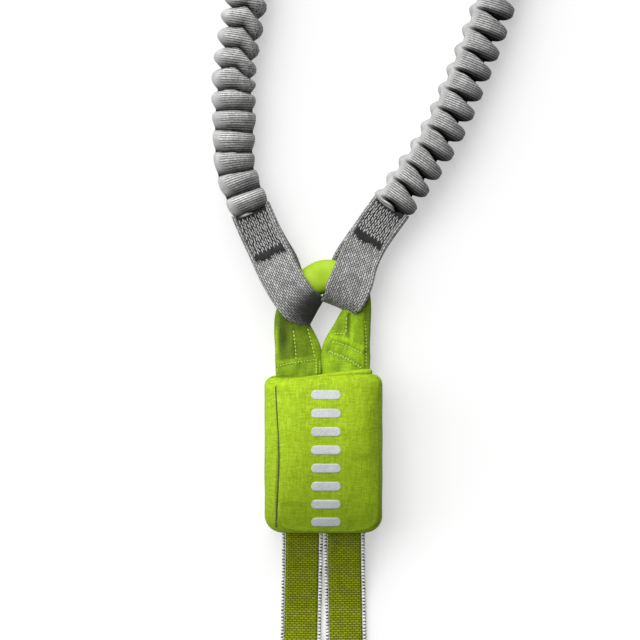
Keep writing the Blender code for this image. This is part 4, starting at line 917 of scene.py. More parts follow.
def loop_rows(layer, back_shift):
    """A lower loop's way from the stitching round the load loop and back.

    The back layer shows beside the front one by a shift above the load loop.
    """
    apart = (STITCHED_THICKNESS + GAP) / 2
    crossing = APEX_THICKNESS / 2 + 2 * GAP + ARM_WEBBING_THICKNESS / 2
    resting = GAP + ARM_WEBBING_THICKNESS / 2
    front, back = [], []
    for x, y, turn, sinking, opening, width in layer:
        middle = ARM_HEIGHT + sinking * (LOAD_LOOP_REST_HEIGHT - ARM_HEIGHT)
        half = apart + opening * (crossing - apart)
        front.append((x * MM, y * MM, middle + half, turn, width))
        beside = x + back_shift * bump_at(y, 100, 14)
        back.append((beside * MM, y * MM, max(middle - half, resting), turn, width))
    back.pop()
    x, y, turn, sinking, _, width = layer[-1]
    middle = ARM_HEIGHT + sinking * (LOAD_LOOP_REST_HEIGHT - ARM_HEIGHT)
    front[-1] = (x * MM, y * MM, middle, turn, width)
    rows = []
    for x, y, z, turn, width in smooth_through(front + back[::-1], 8):
        direction = width_at(turn)
        rows.append((x, y, z, *direction, width * ARM_WEBBING_WIDTH / 2))
    return rows


def slit_edge(x):
    """How far the yarns' ends stand into the slit, by their place across the webbing."""
    place = Vector((x / (0.5 * MM), 0, 4.4))
    return 2.2 * MM * noise.noise(place) + 0.5 * MM * math.sin(x / (1.9 * MM))


def build_arm_end(name, rows, node, finishes, stitched_length, fold_shade):
    """An arm's flat end: a stitched zone, a slit, and a plain loop that returns to the sleeve.

    Its fold turns from the light, and painted shade darkens it there by a share.
    """
    rows = list(rows)
    for end, beside in ((0, 1), (-1, -2)):
        before = [a + (a - b) * 3 * MM / math.dist(rows[end][:3], rows[beside][:3])
                  for a, b in zip(rows[end], rows[beside])]
        rows.insert(0 if end == 0 else len(rows), before)
    stations, length = strap_stations(rows, 0.5 * MM)
    around = 100
    count = len(stations) - 1
    field = 0.78  # the share of the width between the two selvages

    def from_end(i):
        return min(i, count - i) / count * length - 3 * MM

    def place(i, j):
        centre, width, upward, half_width = stations[i]
        stitched = 1 - eased(stitched_length - 1 * MM, stitched_length + 1 * MM, from_end(i))
        half = (ARM_WEBBING_THICKNESS + stitched * (STITCHED_THICKNESS - ARM_WEBBING_THICKNESS)) / 2
        x, z = strap_point(j / around, half_width, half)
        share = abs(x) / half_width
        selvage = 0.3 * MM * eased(field, field + 0.08, share) * (1 - eased(0.9, 1.0, share))
        slit = bump_at(from_end(i) + slit_edge(x), stitched_length - 0.4 * MM, 2.7 * MM)
        slit *= 1 - eased(field - 0.08, field, share)
        z += math.copysign(selvage - 0.75 * MM * slit, z)
        return centre + width * x + upward * z

    form = wrapped_form(count, around, place, length, 2 * ARM_WEBBING_WIDTH)
    fold = stations[count // 2][0]
    # Painted shade: the colour is darkened towards the fold, by the fold's share
    openness = form.verts.layers.float.new("openness")
    for vert in form.verts:
        near = 1 - eased(1 * MM, 17 * MM, (vert.co.xy - fold.xy).length - 2 * MM)
        vert[openness] = (1 - fold_shade * near) ** 1.8
    surface = form.loops.layers.uv[WEAVE_MAP]
    for face in form.faces:
        if len(face.verts) > 4:
            continue
        i = min(loop[surface].uv.x for loop in face.loops) / length * count + 0.5
        j = min(loop[surface].uv.y for loop in face.loops) / (2 * ARM_WEBBING_WIDTH) * around + 0.5
        half_width = stations[round(i)][3]
        x, _ = strap_point(j / around, half_width, ARM_WEBBING_THICKNESS / 2)
        # Faces in the slit take its painted shade, and those of the stitched zone the painted shade under
        # the stitches
        if abs(x) < (field - 0.02) * half_width:
            if abs(from_end(i) + slit_edge(x) - stitched_length + 0.4 * MM) < 1.6 * MM:
                face.material_index = 2
            elif from_end(i) < stitched_length:
                face.material_index = 1
    loop_piece = add_piece(
        name,
        form,
        [finishes["flat_grey"], finishes["stitched_ground"], finishes["slit"]],
        slot="grey_webbing",
        replaces=(node,),
    )
    stitches = build_stitch_rows(
        f"{name}_stitches", stations, length, stitched_length, finishes
    )
    return [loop_piece, stitches]


def build_stitch_rows(name, stations, length, stitched_length, finishes):
    """Rows of thread on the upward side of both ends of a loop's webbing.

    On the upper loops that side lies between the two layers, which hide it.
    """
    form = bmesh.new()
    dice = random.Random(5)
    step = length / (len(stations) - 1)
    for start, ahead in ((0, 1), (len(stations) - 1, -1)):
        for row in range(STITCH_ROWS):
            across = (row - STITCH_ROWS // 2) * STITCH_ROW_GAP
            way = 3.4 * MM + (row % 2) * STITCH_PITCH / 2
            while way < stitched_length - 1.6 * MM:
                index = start + ahead * round((way + 1.1 * MM) / step)
                centre, width, upward, _ = stations[index]
                along = width.cross(upward) + width * (0.16 if row % 2 else -0.1)
                place = (
                    centre + width * (across + dice.uniform(-0.2, 0.2) * MM)
                    + upward * (STITCHED_THICKNESS / 2 + 0.1 * MM)
                )
                along += width * dice.uniform(-0.12, 0.12)
                add_stitch(
                    form, place, along.normalized(), upward, 2.5 * MM, dice.uniform(0.28, 0.42) * MM
                )
                way += STITCH_PITCH
    return add_piece(name, form, finishes["grey_thread"], slot="grey_webbing")


def add_stitch(form, place, along, upward, length, radius):
    """One stitch: a short thread that dips into the cloth at both ends."""
    across = along.cross(upward).normalized()
    made = bmesh.ops.create_uvsphere(form, u_segments=8, v_segments=6, radius=1.0)
    turn = Matrix((across, along, upward)).transposed().to_4x4()
    scale = Matrix.Diagonal((radius, length / 2, radius * 0.8, 1))
    bmesh.ops.transform(form, matrix=Matrix.Translation(place) @ turn @ scale, verts=made["verts"])


def upper_loop_rows(side):
    """An upper loop's way from the stitching round the connector's bar and back."""
    x, y = (LEFT_ROUTE if side == "left" else RIGHT_ROUTE)[-1]
    x, y = x * MM, y * MM
    layer = STITCHED_THICKNESS / 2 + GAP / 2
    off = SEAT_THICKNESS / 2 + GAP + ARM_WEBBING_THICKNESS / 2
    inner = y + UPPER_LOOP_REACH
    outer = inner - 2 * BAR_HALF_WIDTH
    past = inner + 2 * GAP + ARM_WEBBING_THICKNESS / 2
    corner = off / 3
    top, bar = ARM_HEIGHT + layer, CONNECTOR_HEIGHT
    middle = (y + STITCHED_LENGTH + outer) / 2
    line = [
        (y + GAP, top), (y + STITCHED_LENGTH / 2, top), (y + STITCHED_LENGTH, top),
        (middle, (top + bar + off) / 2 + layer / 2), (outer, bar + off),
        ((outer + inner) / 2, bar + off), (past - corner, bar + off), (past, bar + off - corner),
        (past, bar - off + corner), (past - corner, bar - off), ((outer + inner) / 2, bar - off),
        (outer, bar - off), (middle, (top - 2 * layer + bar - off) / 2 + layer / 2),
        (y + STITCHED_LENGTH, top - 2 * layer), (y + STITCHED_LENGTH / 2, top - 2 * layer),
        (y + GAP, top - 2 * layer),
    ]
    for _ in range(2):
        rounded = [line[0]]
        for (ay, az), (by, bz) in zip(line, line[1:]):
            rounded.append((ay * 0.75 + by * 0.25, az * 0.75 + bz * 0.25))
            rounded.append((ay * 0.25 + by * 0.75, az * 0.25 + bz * 0.75))
        line = rounded + [line[-1]]
    return [(x, way, height, 1, 0, 0, ARM_WEBBING_WIDTH / 2) for way, height in line]


def rounded_ring(half_width, half_height, radius, steps):
    """Points round a rectangle with rounded corners."""
    made = []
    for quarter, (x, y) in enumerate(((1, 1), (-1, 1), (-1, -1), (1, -1))):
        for k in range(steps + 1):
            turn = math.pi / 2 * (quarter + k / steps)
            made.append(
                (
                    x * (half_width - radius) + radius * math.cos(turn),
                    y * (half_height - radius) + radius * math.sin(turn),
                )
            )
    return made


def build_band(name, node, centre, half_width, half_height, radius, wall, length, finish, slot,
               groove=0.0):
    """A rubber band round a bundle: an endless strip with rounded edges, some with grooves round it."""
    ring = [Vector((x, 0, z)) for x, z in rounded_ring(half_width, half_height, radius, 6)]
    ring = spaced_along(ring + [ring[0]], 0.8 * MM)[:-1]
    count = len(ring)
    sides = 20
    outward = [
        (ring[(k + 1) % count] - ring[k - 1]).normalized().cross(Vector((0, 1, 0)))
        for k in range(count)
    ]

    def place(i, j):
        k = i % count
        across, out = strap_point(j / sides, length / 2, wall / 2)
        if groove and out > 0:
            out -= groove * (0.5 + 0.5 * math.cos(across / length * 6 * math.pi))
        return centre + ring[k] + outward[k] * out + Vector((0, across, 0))

    form = wrapped_form(count, sides, place, count * 0.8 * MM, 2 * length)
    return add_piece(name, form, finish, slot=slot, replaces=(node,))


def build_keeper(side, finishes):
    """The moulded rubber keeper that holds an upper loop in line."""
    low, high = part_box(f"keeper_{side}")
    low, high = Vector(low), Vector(high)
    wall = 1.6 * MM
    return build_band(
        f"keeper_ring_{side}", f"keeper_{side}", (low + high) / 2,
        (high.x - low.x) / 2 - wall / 2, (high.z - low.z) / 2 - wall / 2, 1.6 * MM, wall,
        high.y - low.y, finishes["rubber"], "black_rubber", 0.35 * MM,
    )


def build_core(side, line, finishes):
    """The braided elastic core inside a sleeve."""
    inner = line[3:-3:4]
    directions = tangents(inner)
    sides = 16

    def place(i, j):
        turn = 2 * math.pi * j / sides
        right = directions[i].cross(UP_Z)
        radius = CORE_RADIUS * (1 + 0.02 * math.cos(6 * turn + i))
        return inner[i] + right * (radius * math.cos(turn)) + UP_Z * (radius * math.sin(turn))

    form = wrapped_form(len(inner) - 1, sides, place, lengths_along(inner)[-1], 29 * MM)
    return add_piece(
        f"elastic_core_{side}", form, finishes["elastic"], slot="elastic",
        replaces=(f"arm_{side}_core",),
    )


def corner_inset(distance, radius):
    """How far a rounded corner draws a side in, at a distance before the end that it turns into."""
    inside = max(0.0, radius - distance)
    return radius - math.sqrt(max(0.0, radius * radius - inside * inside))


def pouch_inset(y):
    """How far the pouch's rounded ends draw its sides in at a place along it."""
    return max(
        corner_inset(POUCH_HALF_LENGTH - end * y, radius) for end, radius in POUCH_END_RADII
    )


def pouch_stations():
    """Places along the pouch, close together where its ends turn in."""
    made = []
    for end, radius in POUCH_END_RADII:
        for k in range(13):
            turn = math.pi / 2 * k / 12
            made.append(end * (POUCH_HALF_LENGTH - radius * (1 - math.sin(turn))))
    low, high = sorted(made)[12], sorted(made)[13]
    made += [low + (high - low) * k / 56 for k in range(1, 56)]
    return sorted(made)


def cloth_wave(x, y, size, depth, seed):
    """Soft unevenness of stuffed cloth."""
    return depth * noise.noise(Vector((x / size, y / size, seed)))


def pouch_wedge(y):
    """The heights of the pouch's seam and crest, lower towards the harness loop."""
    rows = POUCH_WEDGE
    for (low_y, *low), (high_y, *high) in zip(rows, rows[1:]):
        if y < high_y * MM or high_y == rows[-1][0]:
            share = min(1.0, max(0.0, (y / MM - low_y) / (high_y - low_y)))
            return [(a + (b - a) * share) * MM for a, b in zip(low, high)]


def left_seam(y):
    """Where the front's left seam runs: bowed inwards at its middle."""
    return (-24.9 + 1.9 * bump_at(y, -1 * MM, 42 * MM)) * MM


def front_crown(x, y, height):
    """The front panel's height: highest above the middle and low towards the harness loop."""
    seam, crest = pouch_wedge(y)
    groove = 1.3 * MM * bump_at(x, left_seam(y), 1.6 * MM)
    rise = (height - POUCH_SEAM_HEIGHT) / (POUCH_DEPTH - POUCH_SEAM_HEIGHT)
    edge = eased(0, 1.2 * MM, height - POUCH_SEAM_HEIGHT)
    return seam + rise * (crest - seam) + edge * (
        cloth_wave(x, y, 14 * MM, 0.5 * MM, 1.7) + cloth_wave(x, y, 5 * MM, 0.14 * MM, 4.2) - groove
    )


def pouch_slant(x, y):
    """How far the upper end's slanting edge lies from square."""
    return 0.055 * x * eased(12 * MM, 40 * MM, y)


def front_height(x, y):
    """The height of the front panel's face at a place in plan."""
    y -= pouch_slant(x, y)
    inset = pouch_inset(y)
    share = min(1.0, abs(x) / (POUCH_HALF_WIDTH - inset))
    power = SIDE_SQUARENESS[x > 0]
    height = POUCH_DEPTH / 2 + (POUCH_DEPTH / 2 - inset) * (1 - share**power) ** (1 / power)
    return front_crown(x, y, height)


def settle_tub(form):
    """Lowers the tub's upper part to the wedge and slants its upper end."""
    fixed = 20 * MM
    for vert in form.verts:
        x, y, z = vert.co
        if z > fixed:
            seam = pouch_wedge(y)[0]
            vert.co.z = fixed + (z - fixed) * (seam - fixed) / (POUCH_SEAM_HEIGHT - fixed)
            vert.co.y += pouch_slant(x, y) * eased(fixed, 30 * MM, z)


def pouch_form():
    """The stuffed pouch as one closed surface."""
    stations = pouch_stations()
    sides = 264
    middle = POUCH_DEPTH / 2

    def ring_point(y, j):
        inset = pouch_inset(y)
        turn = 2 * math.pi * (j + 0.5) / sides
        across, up = math.cos(turn), math.sin(turn)
        squareness = SIDE_SQUARENESS[across > 0] if up > 0 else 5.0
        reach = middle - inset if up > 0 else middle + 0.6 * MM - inset
        x = (POUCH_HALF_WIDTH - inset) * math.copysign(abs(across) ** (2 / squareness), across)
        z = middle + reach * math.copysign(abs(up) ** (2 / squareness), up)
        bulge = 1 + 0.012 * math.sin(math.pi * min(1.0, max(0.0, (z - 4 * MM) / (29 * MM))))
        x *= bulge
        side = eased(20 * MM, 28 * MM, abs(x))
        x += side * (cloth_wave(z * 1.5, y, 16 * MM, 0.4 * MM, 3.0 if x > 0 else 9.0))
        return Vector((x, y, max(0.1 * MM, z)))

    def place(i, j):
        return ring_point(stations[i], j)

    ring = [ring_point(0, j) for j in range(sides)]
    ring_ways = lengths_along(ring + [ring[0]])
    return wrapped_form(
        len(stations) - 1, sides, place, [y + POUCH_HALF_LENGTH for y in stations], ring_ways
    )


def build_pouch(finishes):
    """The tub and the crowned front panel, with their seams, mouth fold and print."""
    shell_form = pouch_form()
    bmesh.ops.bisect_plane(
        shell_form, geom=shell_form.verts[:] + shell_form.edges[:] + shell_form.faces[:],
        plane_co=UP_Z * (POUCH_SEAM_HEIGHT + 0.1 * MM), plane_no=UP_Z, clear_outer=True,
    )
    half = POUCH_HALF_LENGTH
    for end, half_width, half_height, height in (
        (1, 27.5 * MM, 5.6 * MM, LOAD_MOUTH_HEIGHT), (-1, 22.9 * MM, 2.1 * MM, TIE_IN_MOUTH_HEIGHT),
    ):
        low, high = sorted((end * (half - 3.2 * MM), end * (half + 2 * MM)))
        cut_mouth(
            shell_form, (-half_width, low, height - half_height),
            (half_width, high, height + half_height),
        )
    settle_tub(shell_form)
    shell = add_piece(
        "pouch_tub", shell_form, finishes["lime_canvas"], slot="lime_cloth",
        replaces=("pouch_shell",),
    )
    with_modifiers_applied(thickened(shell, POUCH_WALL))
    front_form = pouch_form()
    bmesh.ops.bisect_plane(
        front_form, geom=front_form.verts[:] + front_form.edges[:] + front_form.faces[:],
        plane_co=UP_Z * (POUCH_SEAM_HEIGHT - 0.2 * MM), plane_no=UP_Z, clear_inner=True,
    )
    for vert in front_form.verts:
        x, y, z = vert.co
        vert.co.z = front_crown(x, y, z)
        hem = 1 - eased(POUCH_SEAM_HEIGHT, POUCH_SEAM_HEIGHT + 2 * MM, z)
        vert.co.x += math.copysign(0.25 * MM * hem, x)
        vert.co.y += pouch_slant(x, y) + math.copysign(0.25 * MM * hem, y)
    front = add_piece(
        "pouch_front_panel", front_form, finishes["lime_canvas"], slot="lime_cloth",
        replaces=("pouch_front",),
    )
    with_modifiers_applied(thickened(front, POUCH_WALL))
    build_print(finishes)
    build_pouch_seams(finishes)


def build_print(finishes):
    """A plain row of rounded dashes down the front, in light grey print."""
    form = bmesh.new()
    for row in range(DASH_COUNT):
        made = bmesh.ops.create_grid(form, x_segments=36, y_segments=8, size=1)
        for vert in made["verts"]:
            x = vert.co.x * DASH_HALF_LENGTH
            past = max(0.0, abs(x) - DASH_HALF_LENGTH + DASH_HALF_HEIGHT) / DASH_HALF_HEIGHT
            y = vert.co.y * DASH_HALF_HEIGHT * math.sqrt(max(0.0, 1 - past * past))
            x, y = DASH_X + x, DASH_TOP - DASH_PITCH * row + y
            vert.co = (x, y, front_height(x, y) + 0.14 * MM)
    bmesh.ops.remove_doubles(form, verts=form.verts, dist=WELD)
    print_piece = add_piece("front_print", form, finishes["print"], slot="lime_cloth")
    thickened(print_piece, 0.2 * MM)


def build_pouch_seams(finishes):
    """Topstitching along the front panel's left seam and the rolled fold over the upper mouth."""
    form = bmesh.new()
    for k in range(TOPSTITCH_COUNT):
        y = TOPSTITCH_START - TOPSTITCH_PITCH * k
        x = left_seam(y)
        add_stitch(
            form, Vector((x, y, front_height(x, y) + 0.1 * MM)), Vector((0.1, 1, 0)).normalized(), UP_Z,
            2.3 * MM, (0.4 + 0.2 * bump_at(y, -6 * MM, 34 * MM)) * MM,
        )
    add_piece("front_panel_topstitch", form, finishes["dark_thread"], slot="lime_cloth")
    rows = smooth_through(
        (
            (-24.5 * MM, 38.4 * MM, 28.6 * MM), (-14 * MM, 39.6 * MM, 30 * MM),
            (0, 41 * MM, 30.4 * MM), (12 * MM, 42.3 * MM, 30.2 * MM), (21 * MM, 43.1 * MM, 29.2 * MM),
            (25.4 * MM, 43.3 * MM, 27.6 * MM),
        ), 12,
    )
    line = [Vector(row) for row in rows]
    directions = tangents(line)
    sides = 16

    def place(i, j):
        turn = 2 * math.pi * j / sides
        share = i / (len(line) - 1)
        size = 0.3 + 0.7 * eased(0, 0.75, share) - 0.45 * eased(0.92, 1.0, share)
        back = directions[i].cross(UP_Z)
        return line[i] - back * (1.7 * MM * size * math.cos(turn)) + UP_Z * (
            2.2 * MM * size * math.sin(turn)
        )

    form = wrapped_form(len(line) - 1, sides, place, 26 * MM, 12 * MM)
    add_piece("mouth_fold", form, finishes["lime_canvas"], slot="lime_cloth")


def load_stations(per_span):
    """The load loop's cross-sections: middle, direction of the width, half width and half thickness."""
    rise = LOAD_MOUTH_HEIGHT - LOAD_LOOP_REST_HEIGHT
    made = []
    for across, beyond, lift, width, growth in smooth_through(LOAD_ROUTE_SHARES, per_span):
        middle = Vector(
            (
                across * LOAD_LOOP_HALF_SPREAD,
                POUCH_HALF_LENGTH + beyond * LOAD_LOOP_REACH,
                LOAD_LOOP_REST_HEIGHT + lift * rise,
            )
        )
        thickness = LEG_THICKNESS + growth * (APEX_THICKNESS - LEG_THICKNESS)
        made.append((middle, width * LEG_WIDTH / 2, thickness / 2))
    return made


def from_line(x, y, rows):
    """The distance in plan from a place to a line of points."""
    nearest = math.inf
    for (ax, ay), (bx, by) in zip(rows, rows[1:]):
        along = ((x - ax) * (bx - ax) + (y - ay) * (by - ay)) / ((bx - ax) ** 2 + (by - ay) ** 2)
        along = min(1.0, max(0.0, along))
        nearest = min(
            nearest, math.hypot(x - ax - along * (bx - ax), y - ay - along * (by - ay))
        )
    return nearest


def cover_relief(side, x, y):
    """Seams, folds and wrinkles of a cover's upper face by its place in plan, and painted shade by how open
    it lies.
    """
    x, y = x / MM, y / MM
    wrinkle = noise.noise(Vector((x / 6, y / 8, 5)))
    height = 0.9 * wrinkle + 0.25 * noise.noise(Vector((x / 2.5, y / 3, 7)))
    # Painted shade in wrinkles, seams and folds, and a painted highlight on raised tapes and welts
    openness = 0.92 + 0.25 * wrinkle
    for name, rows in COVER_LINES[side].items():
        depth, half_width = COVER_FORMS[name]
        near = bump_at(from_line(x, y, rows), 0, half_width)
        height += depth * near
        openness *= 1 + 0.55 * near * max(-1.0, min(0.5, depth))
    if side == "left":
        # Painted shade on the left leg: its hollow, the band under its seam, its upper end and its middle
        hollow = bump_at(math.hypot((x + 20.8) / 4.8, (y - 61) / 11), 0, 1)
        band = eased(0.2, 0.9, 48.6 + (x + 15) * 0.15 - y)
        height -= 1.6 * hollow + 0.5 * band
        openness *= (1 - 0.68 * hollow) * (1 - 0.25 * band)
        openness *= 1 - 0.4 * eased(62, 69, y)
        shade = eased(-24.4, -22.2, x) * (1 - eased(-9, -4.5, x))
        openness *= 1 - 0.5 * shade * eased(0, 1.6, y - 49.2 - 0.14 * (x + 15))
    else:
        # Painted shade at the right leg's outer edge and in its hollow
        edge = eased(21.2, 22.2, x)
        hollow = bump_at(math.hypot((x - 8.5) / 6.5, (y - 66.5) / 5), 0, 1)
        height -= 0.8 * edge + 0.5 * hollow
        openness *= (1 - 0.22 * edge) * (1 - 0.3 * hollow)
    return height * MM, openness


def leg_roll(x, y):
    """The left leg's twist about its own line: its outer edge lies higher."""
    return math.radians(17) * bump_at(y, 59 * MM, 17 * MM) if x < 0 else 0.0


def build_load_loop(finishes):
    """The covers of the two legs, the smooth guard on the apex, and the webbing inside."""
    per_span = 18
    stations = load_stations(per_span)
    middles = [station[0] for station in stations]
    directions = tangents(middles)
    ways = lengths_along(middles)
    sides = 110
    spans = (
        ("leg_cover_left", "load_loop_cover_left", per_span // 2, APEX_START * per_span, "left",
         finishes["lime_cover"], "lime_cloth", 1.3 * MM),
        ("apex_guard", "load_loop_apex_guard", APEX_START * per_span, APEX_END * per_span, None,
         finishes["guard"], "lime_guard", 1.8 * MM),
        ("leg_cover_right", "load_loop_cover_right", APEX_END * per_span,
         len(stations) - 1 - per_span // 2, "right", finishes["lime_cover"], "lime_cloth", 1.3 * MM),
    )
    for name, node, first, last, side, finish, slot, wall in spans:
        looks = {}

        def place(i, j):
            middle, half_width, half_thickness = stations[first + i]
            along = directions[first + i]
            across = Vector((along.y, -along.x, 0)).normalized()
            upward = across.cross(along)
            roll = Matrix.Rotation(leg_roll(middle.x, middle.y), 3, along)
            across, upward = roll @ across, roll @ upward
            turn = 2 * math.pi * (j + 0.5) / sides
            x = math.copysign(abs(math.cos(turn)) ** (2 / 2.4), math.cos(turn))
            z = math.copysign(abs(math.sin(turn)) ** (2 / 2.4), math.sin(turn))
            point = middle + across * (x * half_width) + upward * (z * half_thickness)
            openness = 1.0
            if side and z > 0:
                height, openness = cover_relief(side, point.x, point.y)
                point.z += height * min(1.0, 1.6 * z)
            point.z = max(0.3 * MM, point.z)
            looks[point.to_tuple(6)] = openness
            return point

        form = wrapped_form(
            last - first, sides, place, [way - ways[first] for way in ways[first : last + 1]],
            62 * MM, capped=False,
        )
        layer = form.verts.layers.float.new("openness")
        for vert in form.verts:
            vert[layer] = looks.get(vert.co.to_tuple(6), 1.0)
        if side:
            build_cover_stitches(side, form, finishes)
        cover = add_piece(name, form, finish, slot=slot, replaces=(node,))
        thickened(cover, wall)
    rows = []
    for middle, half_width, half_thickness in stations:
        heading = directions[len(rows)]
        roll = Matrix.Rotation(leg_roll(middle.x, middle.y), 3, heading)
        across = roll @ Vector((heading.y, -heading.x, 0))
        rows.append((*middle, *across, min(8.5 * MM, half_width - 4.3 * MM)))
    build_strap("load_webbing", "load_loop_webbing", rows, 3.2 * MM, finishes["tear"],
                "tear_webbing")


def build_cover_stitches(side, cover, finishes):
    """Pale thread along a cover's seams, laid on its upper face."""
    surface = BVHTree.FromBMesh(cover)
    form = bmesh.new()
    for name, rows in COVER_LINES[side].items():
        if name not in COVER_STITCHES:
            continue
        pitch, swing = COVER_STITCHES[name]
        line = [Vector((x * MM, y * MM, 0.1)) for x, y in smooth_through(rows, 8)]
        line = spaced_along(line, pitch)
        if swing:
            headings = tangents(line)
            line = [
                place + UP_Z.cross(heading) * (swing if k % 2 else -swing)
                for k, (place, heading) in enumerate(zip(line, headings))
            ]
        for start, end in zip(line, line[1:]):
            spot, upward, _, _ = surface.ray_cast((start + end) / 2, -UP_Z)
            if spot:
                upward = upward if upward.z > 0 else -upward
                along = (end - start) - upward * (end - start).dot(upward)
                add_stitch(
                    form, spot + upward * 0.1 * MM, along.normalized(), upward,
                    0.8 * (end - start).length, 0.34 * MM,
                )
    add_piece(f"leg_cover_{side}_stitches", form, finishes["lime_thread"], slot="lime_cloth")


def build_strap(name, node, rows, thickness, finish, slot, step=1.0 * MM, around=48):
    """A plain webbing along rows of x, y, z, width direction and half width."""
    stations, length = strap_stations(rows, step)

    def place(i, j):
        centre, width, upward, half_width = stations[i]
        x, z = strap_point(j / around, half_width, thickness / 2)
        return centre + width * x + upward * z

    form = wrapped_form(len(stations) - 1, around, place, length, 4 * rows[0][6])
    add_piece(name, form, finish, slot=slot, replaces=(node,))


def tie_in_rows():
    """The harness loop's whole way, from the left strand's end in the pouch to the right one's."""
    left = []
    for across, beyond, height, lift in smooth_through(TIE_IN_ROUTE_SHARES, 8):
        turn = math.radians(lift)
        resting = (TIE_IN_WIDTH * math.sin(turn) + TIE_IN_THICKNESS * math.cos(turn)) / 2
        x = -across * TIE_IN_HALF_SPREAD
        y = -POUCH_HALF_LENGTH - beyond * TIE_IN_REACH
        z = max(height * TIE_IN_MOUTH_HEIGHT, resting + 2 * GAP)
        left.append((x, y, z, *width_at(0, lift), TIE_IN_WIDTH / 2))
    right = [
        (-x, y, z, -wx, -wy, wz, half) for x, y, z, wx, wy, wz, half in reversed(left)
    ]
    return left + right


def build_tie_in(finishes):
    """The harness loop: green ribbed webbing with white twisted picot edges."""
    rows = [(*row[:6], TIE_IN_WIDTH / 2 - 1.3 * PICOT_RADIUS) for row in tie_in_rows()]
    build_strap("harness_loop", "tie_in_loop", rows, 2.1 * MM, finishes["olive"],
                "olive_webbing", 0.8 * MM, 44)
    stations, length = strap_stations(rows, PICOT_STEP)
    sides = 10
    for name, edge in (("picot_edge_left", -1), ("picot_edge_right", 1)):
        def place(i, j):
            centre, width, upward, _ = stations[i]
            turn = 2 * math.pi * j / sides
            twist = 2 * math.pi * (i * PICOT_STEP / PICOT_TWIST) * edge
            scallop = math.cos(2 * math.pi * i / (len(stations) - 1) * length / PICOT_PITCH)
            radius = PICOT_RADIUS * (0.78 + 0.2 * scallop + 0.14 * math.cos(turn - twist))
            middle = centre + width * (edge * (TIE_IN_WIDTH / 2 - 0.4 * MM))
            return middle + width * (radius * math.cos(turn)) + upward * (
                1.15 * radius * math.sin(turn)
            )

        form = wrapped_form(len(stations) - 1, sides, place, length, 6.3 * MM)
        surface = form.loops.layers.uv[WEAVE_MAP]
        for face in form.faces:
            way = sum(loop[surface].uv.x for loop in face.loops) / len(face.loops)
            if math.cos(2 * math.pi * way / PICOT_PITCH) < -0.45:
                face.material_index = 1
        add_piece(
            name, form, [finishes["picot"], finishes["dark_thread"]], slot="olive_webbing"
        )


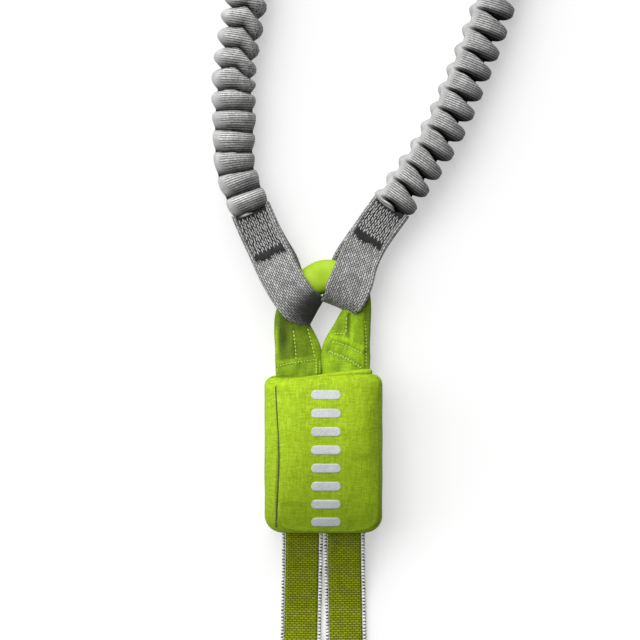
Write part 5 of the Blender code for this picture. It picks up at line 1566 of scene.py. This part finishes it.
def build_pack(finishes):
    """The folded tear webbing with its two rubber bands, and the stitching at both mouths."""
    straight = PACK_LENGTH / 2 - PACK_PITCH / 2
    line = []
    for run in range(PACK_RUNS):
        x = PACK_PITCH * (run - PACK_RUNS // 2)
        heading = 1 if run % 2 == 0 else -1
        line += [(x, -heading * straight), (x, heading * straight)]
        if run < PACK_RUNS - 1:
            for k in range(1, 10):
                turn = math.pi * k / 10
                line.append(
                    (
                        x + PACK_PITCH / 2 * (1 - math.cos(turn)),
                        heading * (straight + PACK_PITCH / 2 * math.sin(turn)),
                    )
                )
    rows = [(x, y, POUCH_DEPTH / 2, 0, 0, 1, PACK_HALF_WIDTH) for x, y in line]
    build_strap("folded_tear_webbing", "tear_webbing_pack", rows, 3.3 * MM, finishes["tear"],
                "tear_webbing", 0.8 * MM)
    for name, side in (("lower_pack_band", -1), ("upper_pack_band", 1)):
        build_band(
            f"{name}_ring", name, Vector((0, side * 12 * MM, POUCH_DEPTH / 2)),
            19.35 * MM, 12.85 * MM, 1.6 * MM, 1 * MM, 5 * MM, finishes["rubber"], "black_rubber",
        )
    for name in ("load_loop_bartack", "tie_in_bartack"):
        low, high = (Vector(corner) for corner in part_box(name))
        form = bmesh.new()
        for k in range(TACK_THREADS):
            x = low.x + (high.x - low.x) * (k + 0.5) / TACK_THREADS
            made = bmesh.ops.create_uvsphere(form, u_segments=12, v_segments=8, radius=1)
            size = (high - low) / 2
            size.x *= 1.24 / TACK_THREADS
            bmesh.ops.scale(form, vec=size, verts=made["verts"])
            bmesh.ops.translate(
                form, vec=(x, (low.y + high.y) / 2, (low.z + high.z) / 2), verts=made["verts"]
            )
        add_piece(
            f"{name}_thread", form, finishes["white_thread"], slot="white_thread",
            replaces=(name,),
        )


def dress_connectors(finishes):
    """The connectors' metals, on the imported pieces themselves."""
    for side in ("left", "right"):
        for part, finish in CONNECTOR_METALS.items():
            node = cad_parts[f"connector_{side}_{part}"]
            for material_slot in node.material_slots:
                material_slot.material = finishes[finish]


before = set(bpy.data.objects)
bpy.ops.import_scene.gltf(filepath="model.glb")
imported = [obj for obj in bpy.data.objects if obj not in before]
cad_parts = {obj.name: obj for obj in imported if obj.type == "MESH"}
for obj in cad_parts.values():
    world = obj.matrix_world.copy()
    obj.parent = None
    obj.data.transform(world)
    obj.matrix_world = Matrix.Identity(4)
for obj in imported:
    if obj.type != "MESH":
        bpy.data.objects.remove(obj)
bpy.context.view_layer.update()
FINISHES = make_finishes()
build_studio()
# Each arm's stitched length, how far its lower loop's back layer shows beside the front one in
# millimetres, and the share of painted shade on the loop's fold
for arm_side, arm_route, arm_gathers, loop_layer, stitched_length, back_shift, fold_shade in (
    ("left", LEFT_ROUTE, left_gathers, LEFT_LOOP, STITCHED_LENGTH, 1.8, 0.85),
    ("right", RIGHT_ROUTE, right_gathers, RIGHT_LOOP, STITCHED_LENGTH - 3.5 * MM, -2.8, 0.2),
):
    sleeve, sleeve_line, sleeve_length = build_sleeve(arm_side, arm_route, arm_gathers, FINISHES)
    on_cord = build_arm_end(
        f"lower_loop_{arm_side}", loop_rows(loop_layer, back_shift), f"arm_{arm_side}_lower_loop",
        FINISHES, stitched_length, fold_shade,
    )
    on_cord += build_arm_end(
        f"upper_loop_{arm_side}", upper_loop_rows(arm_side), f"arm_{arm_side}_upper_loop",
        FINISHES, STITCHED_LENGTH, 0.3,
    )
    on_cord.append(build_keeper(arm_side, FINISHES))
    on_cord.append(build_core(arm_side, sleeve_line, FINISHES))
    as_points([tuple(point) for point in sleeve_line[::6]] + [tuple(sleeve_line[-1])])
build_pouch(FINISHES)
build_load_loop(FINISHES)
build_tie_in(FINISHES)
build_pack(FINISHES)
dress_connectors(FINISHES)
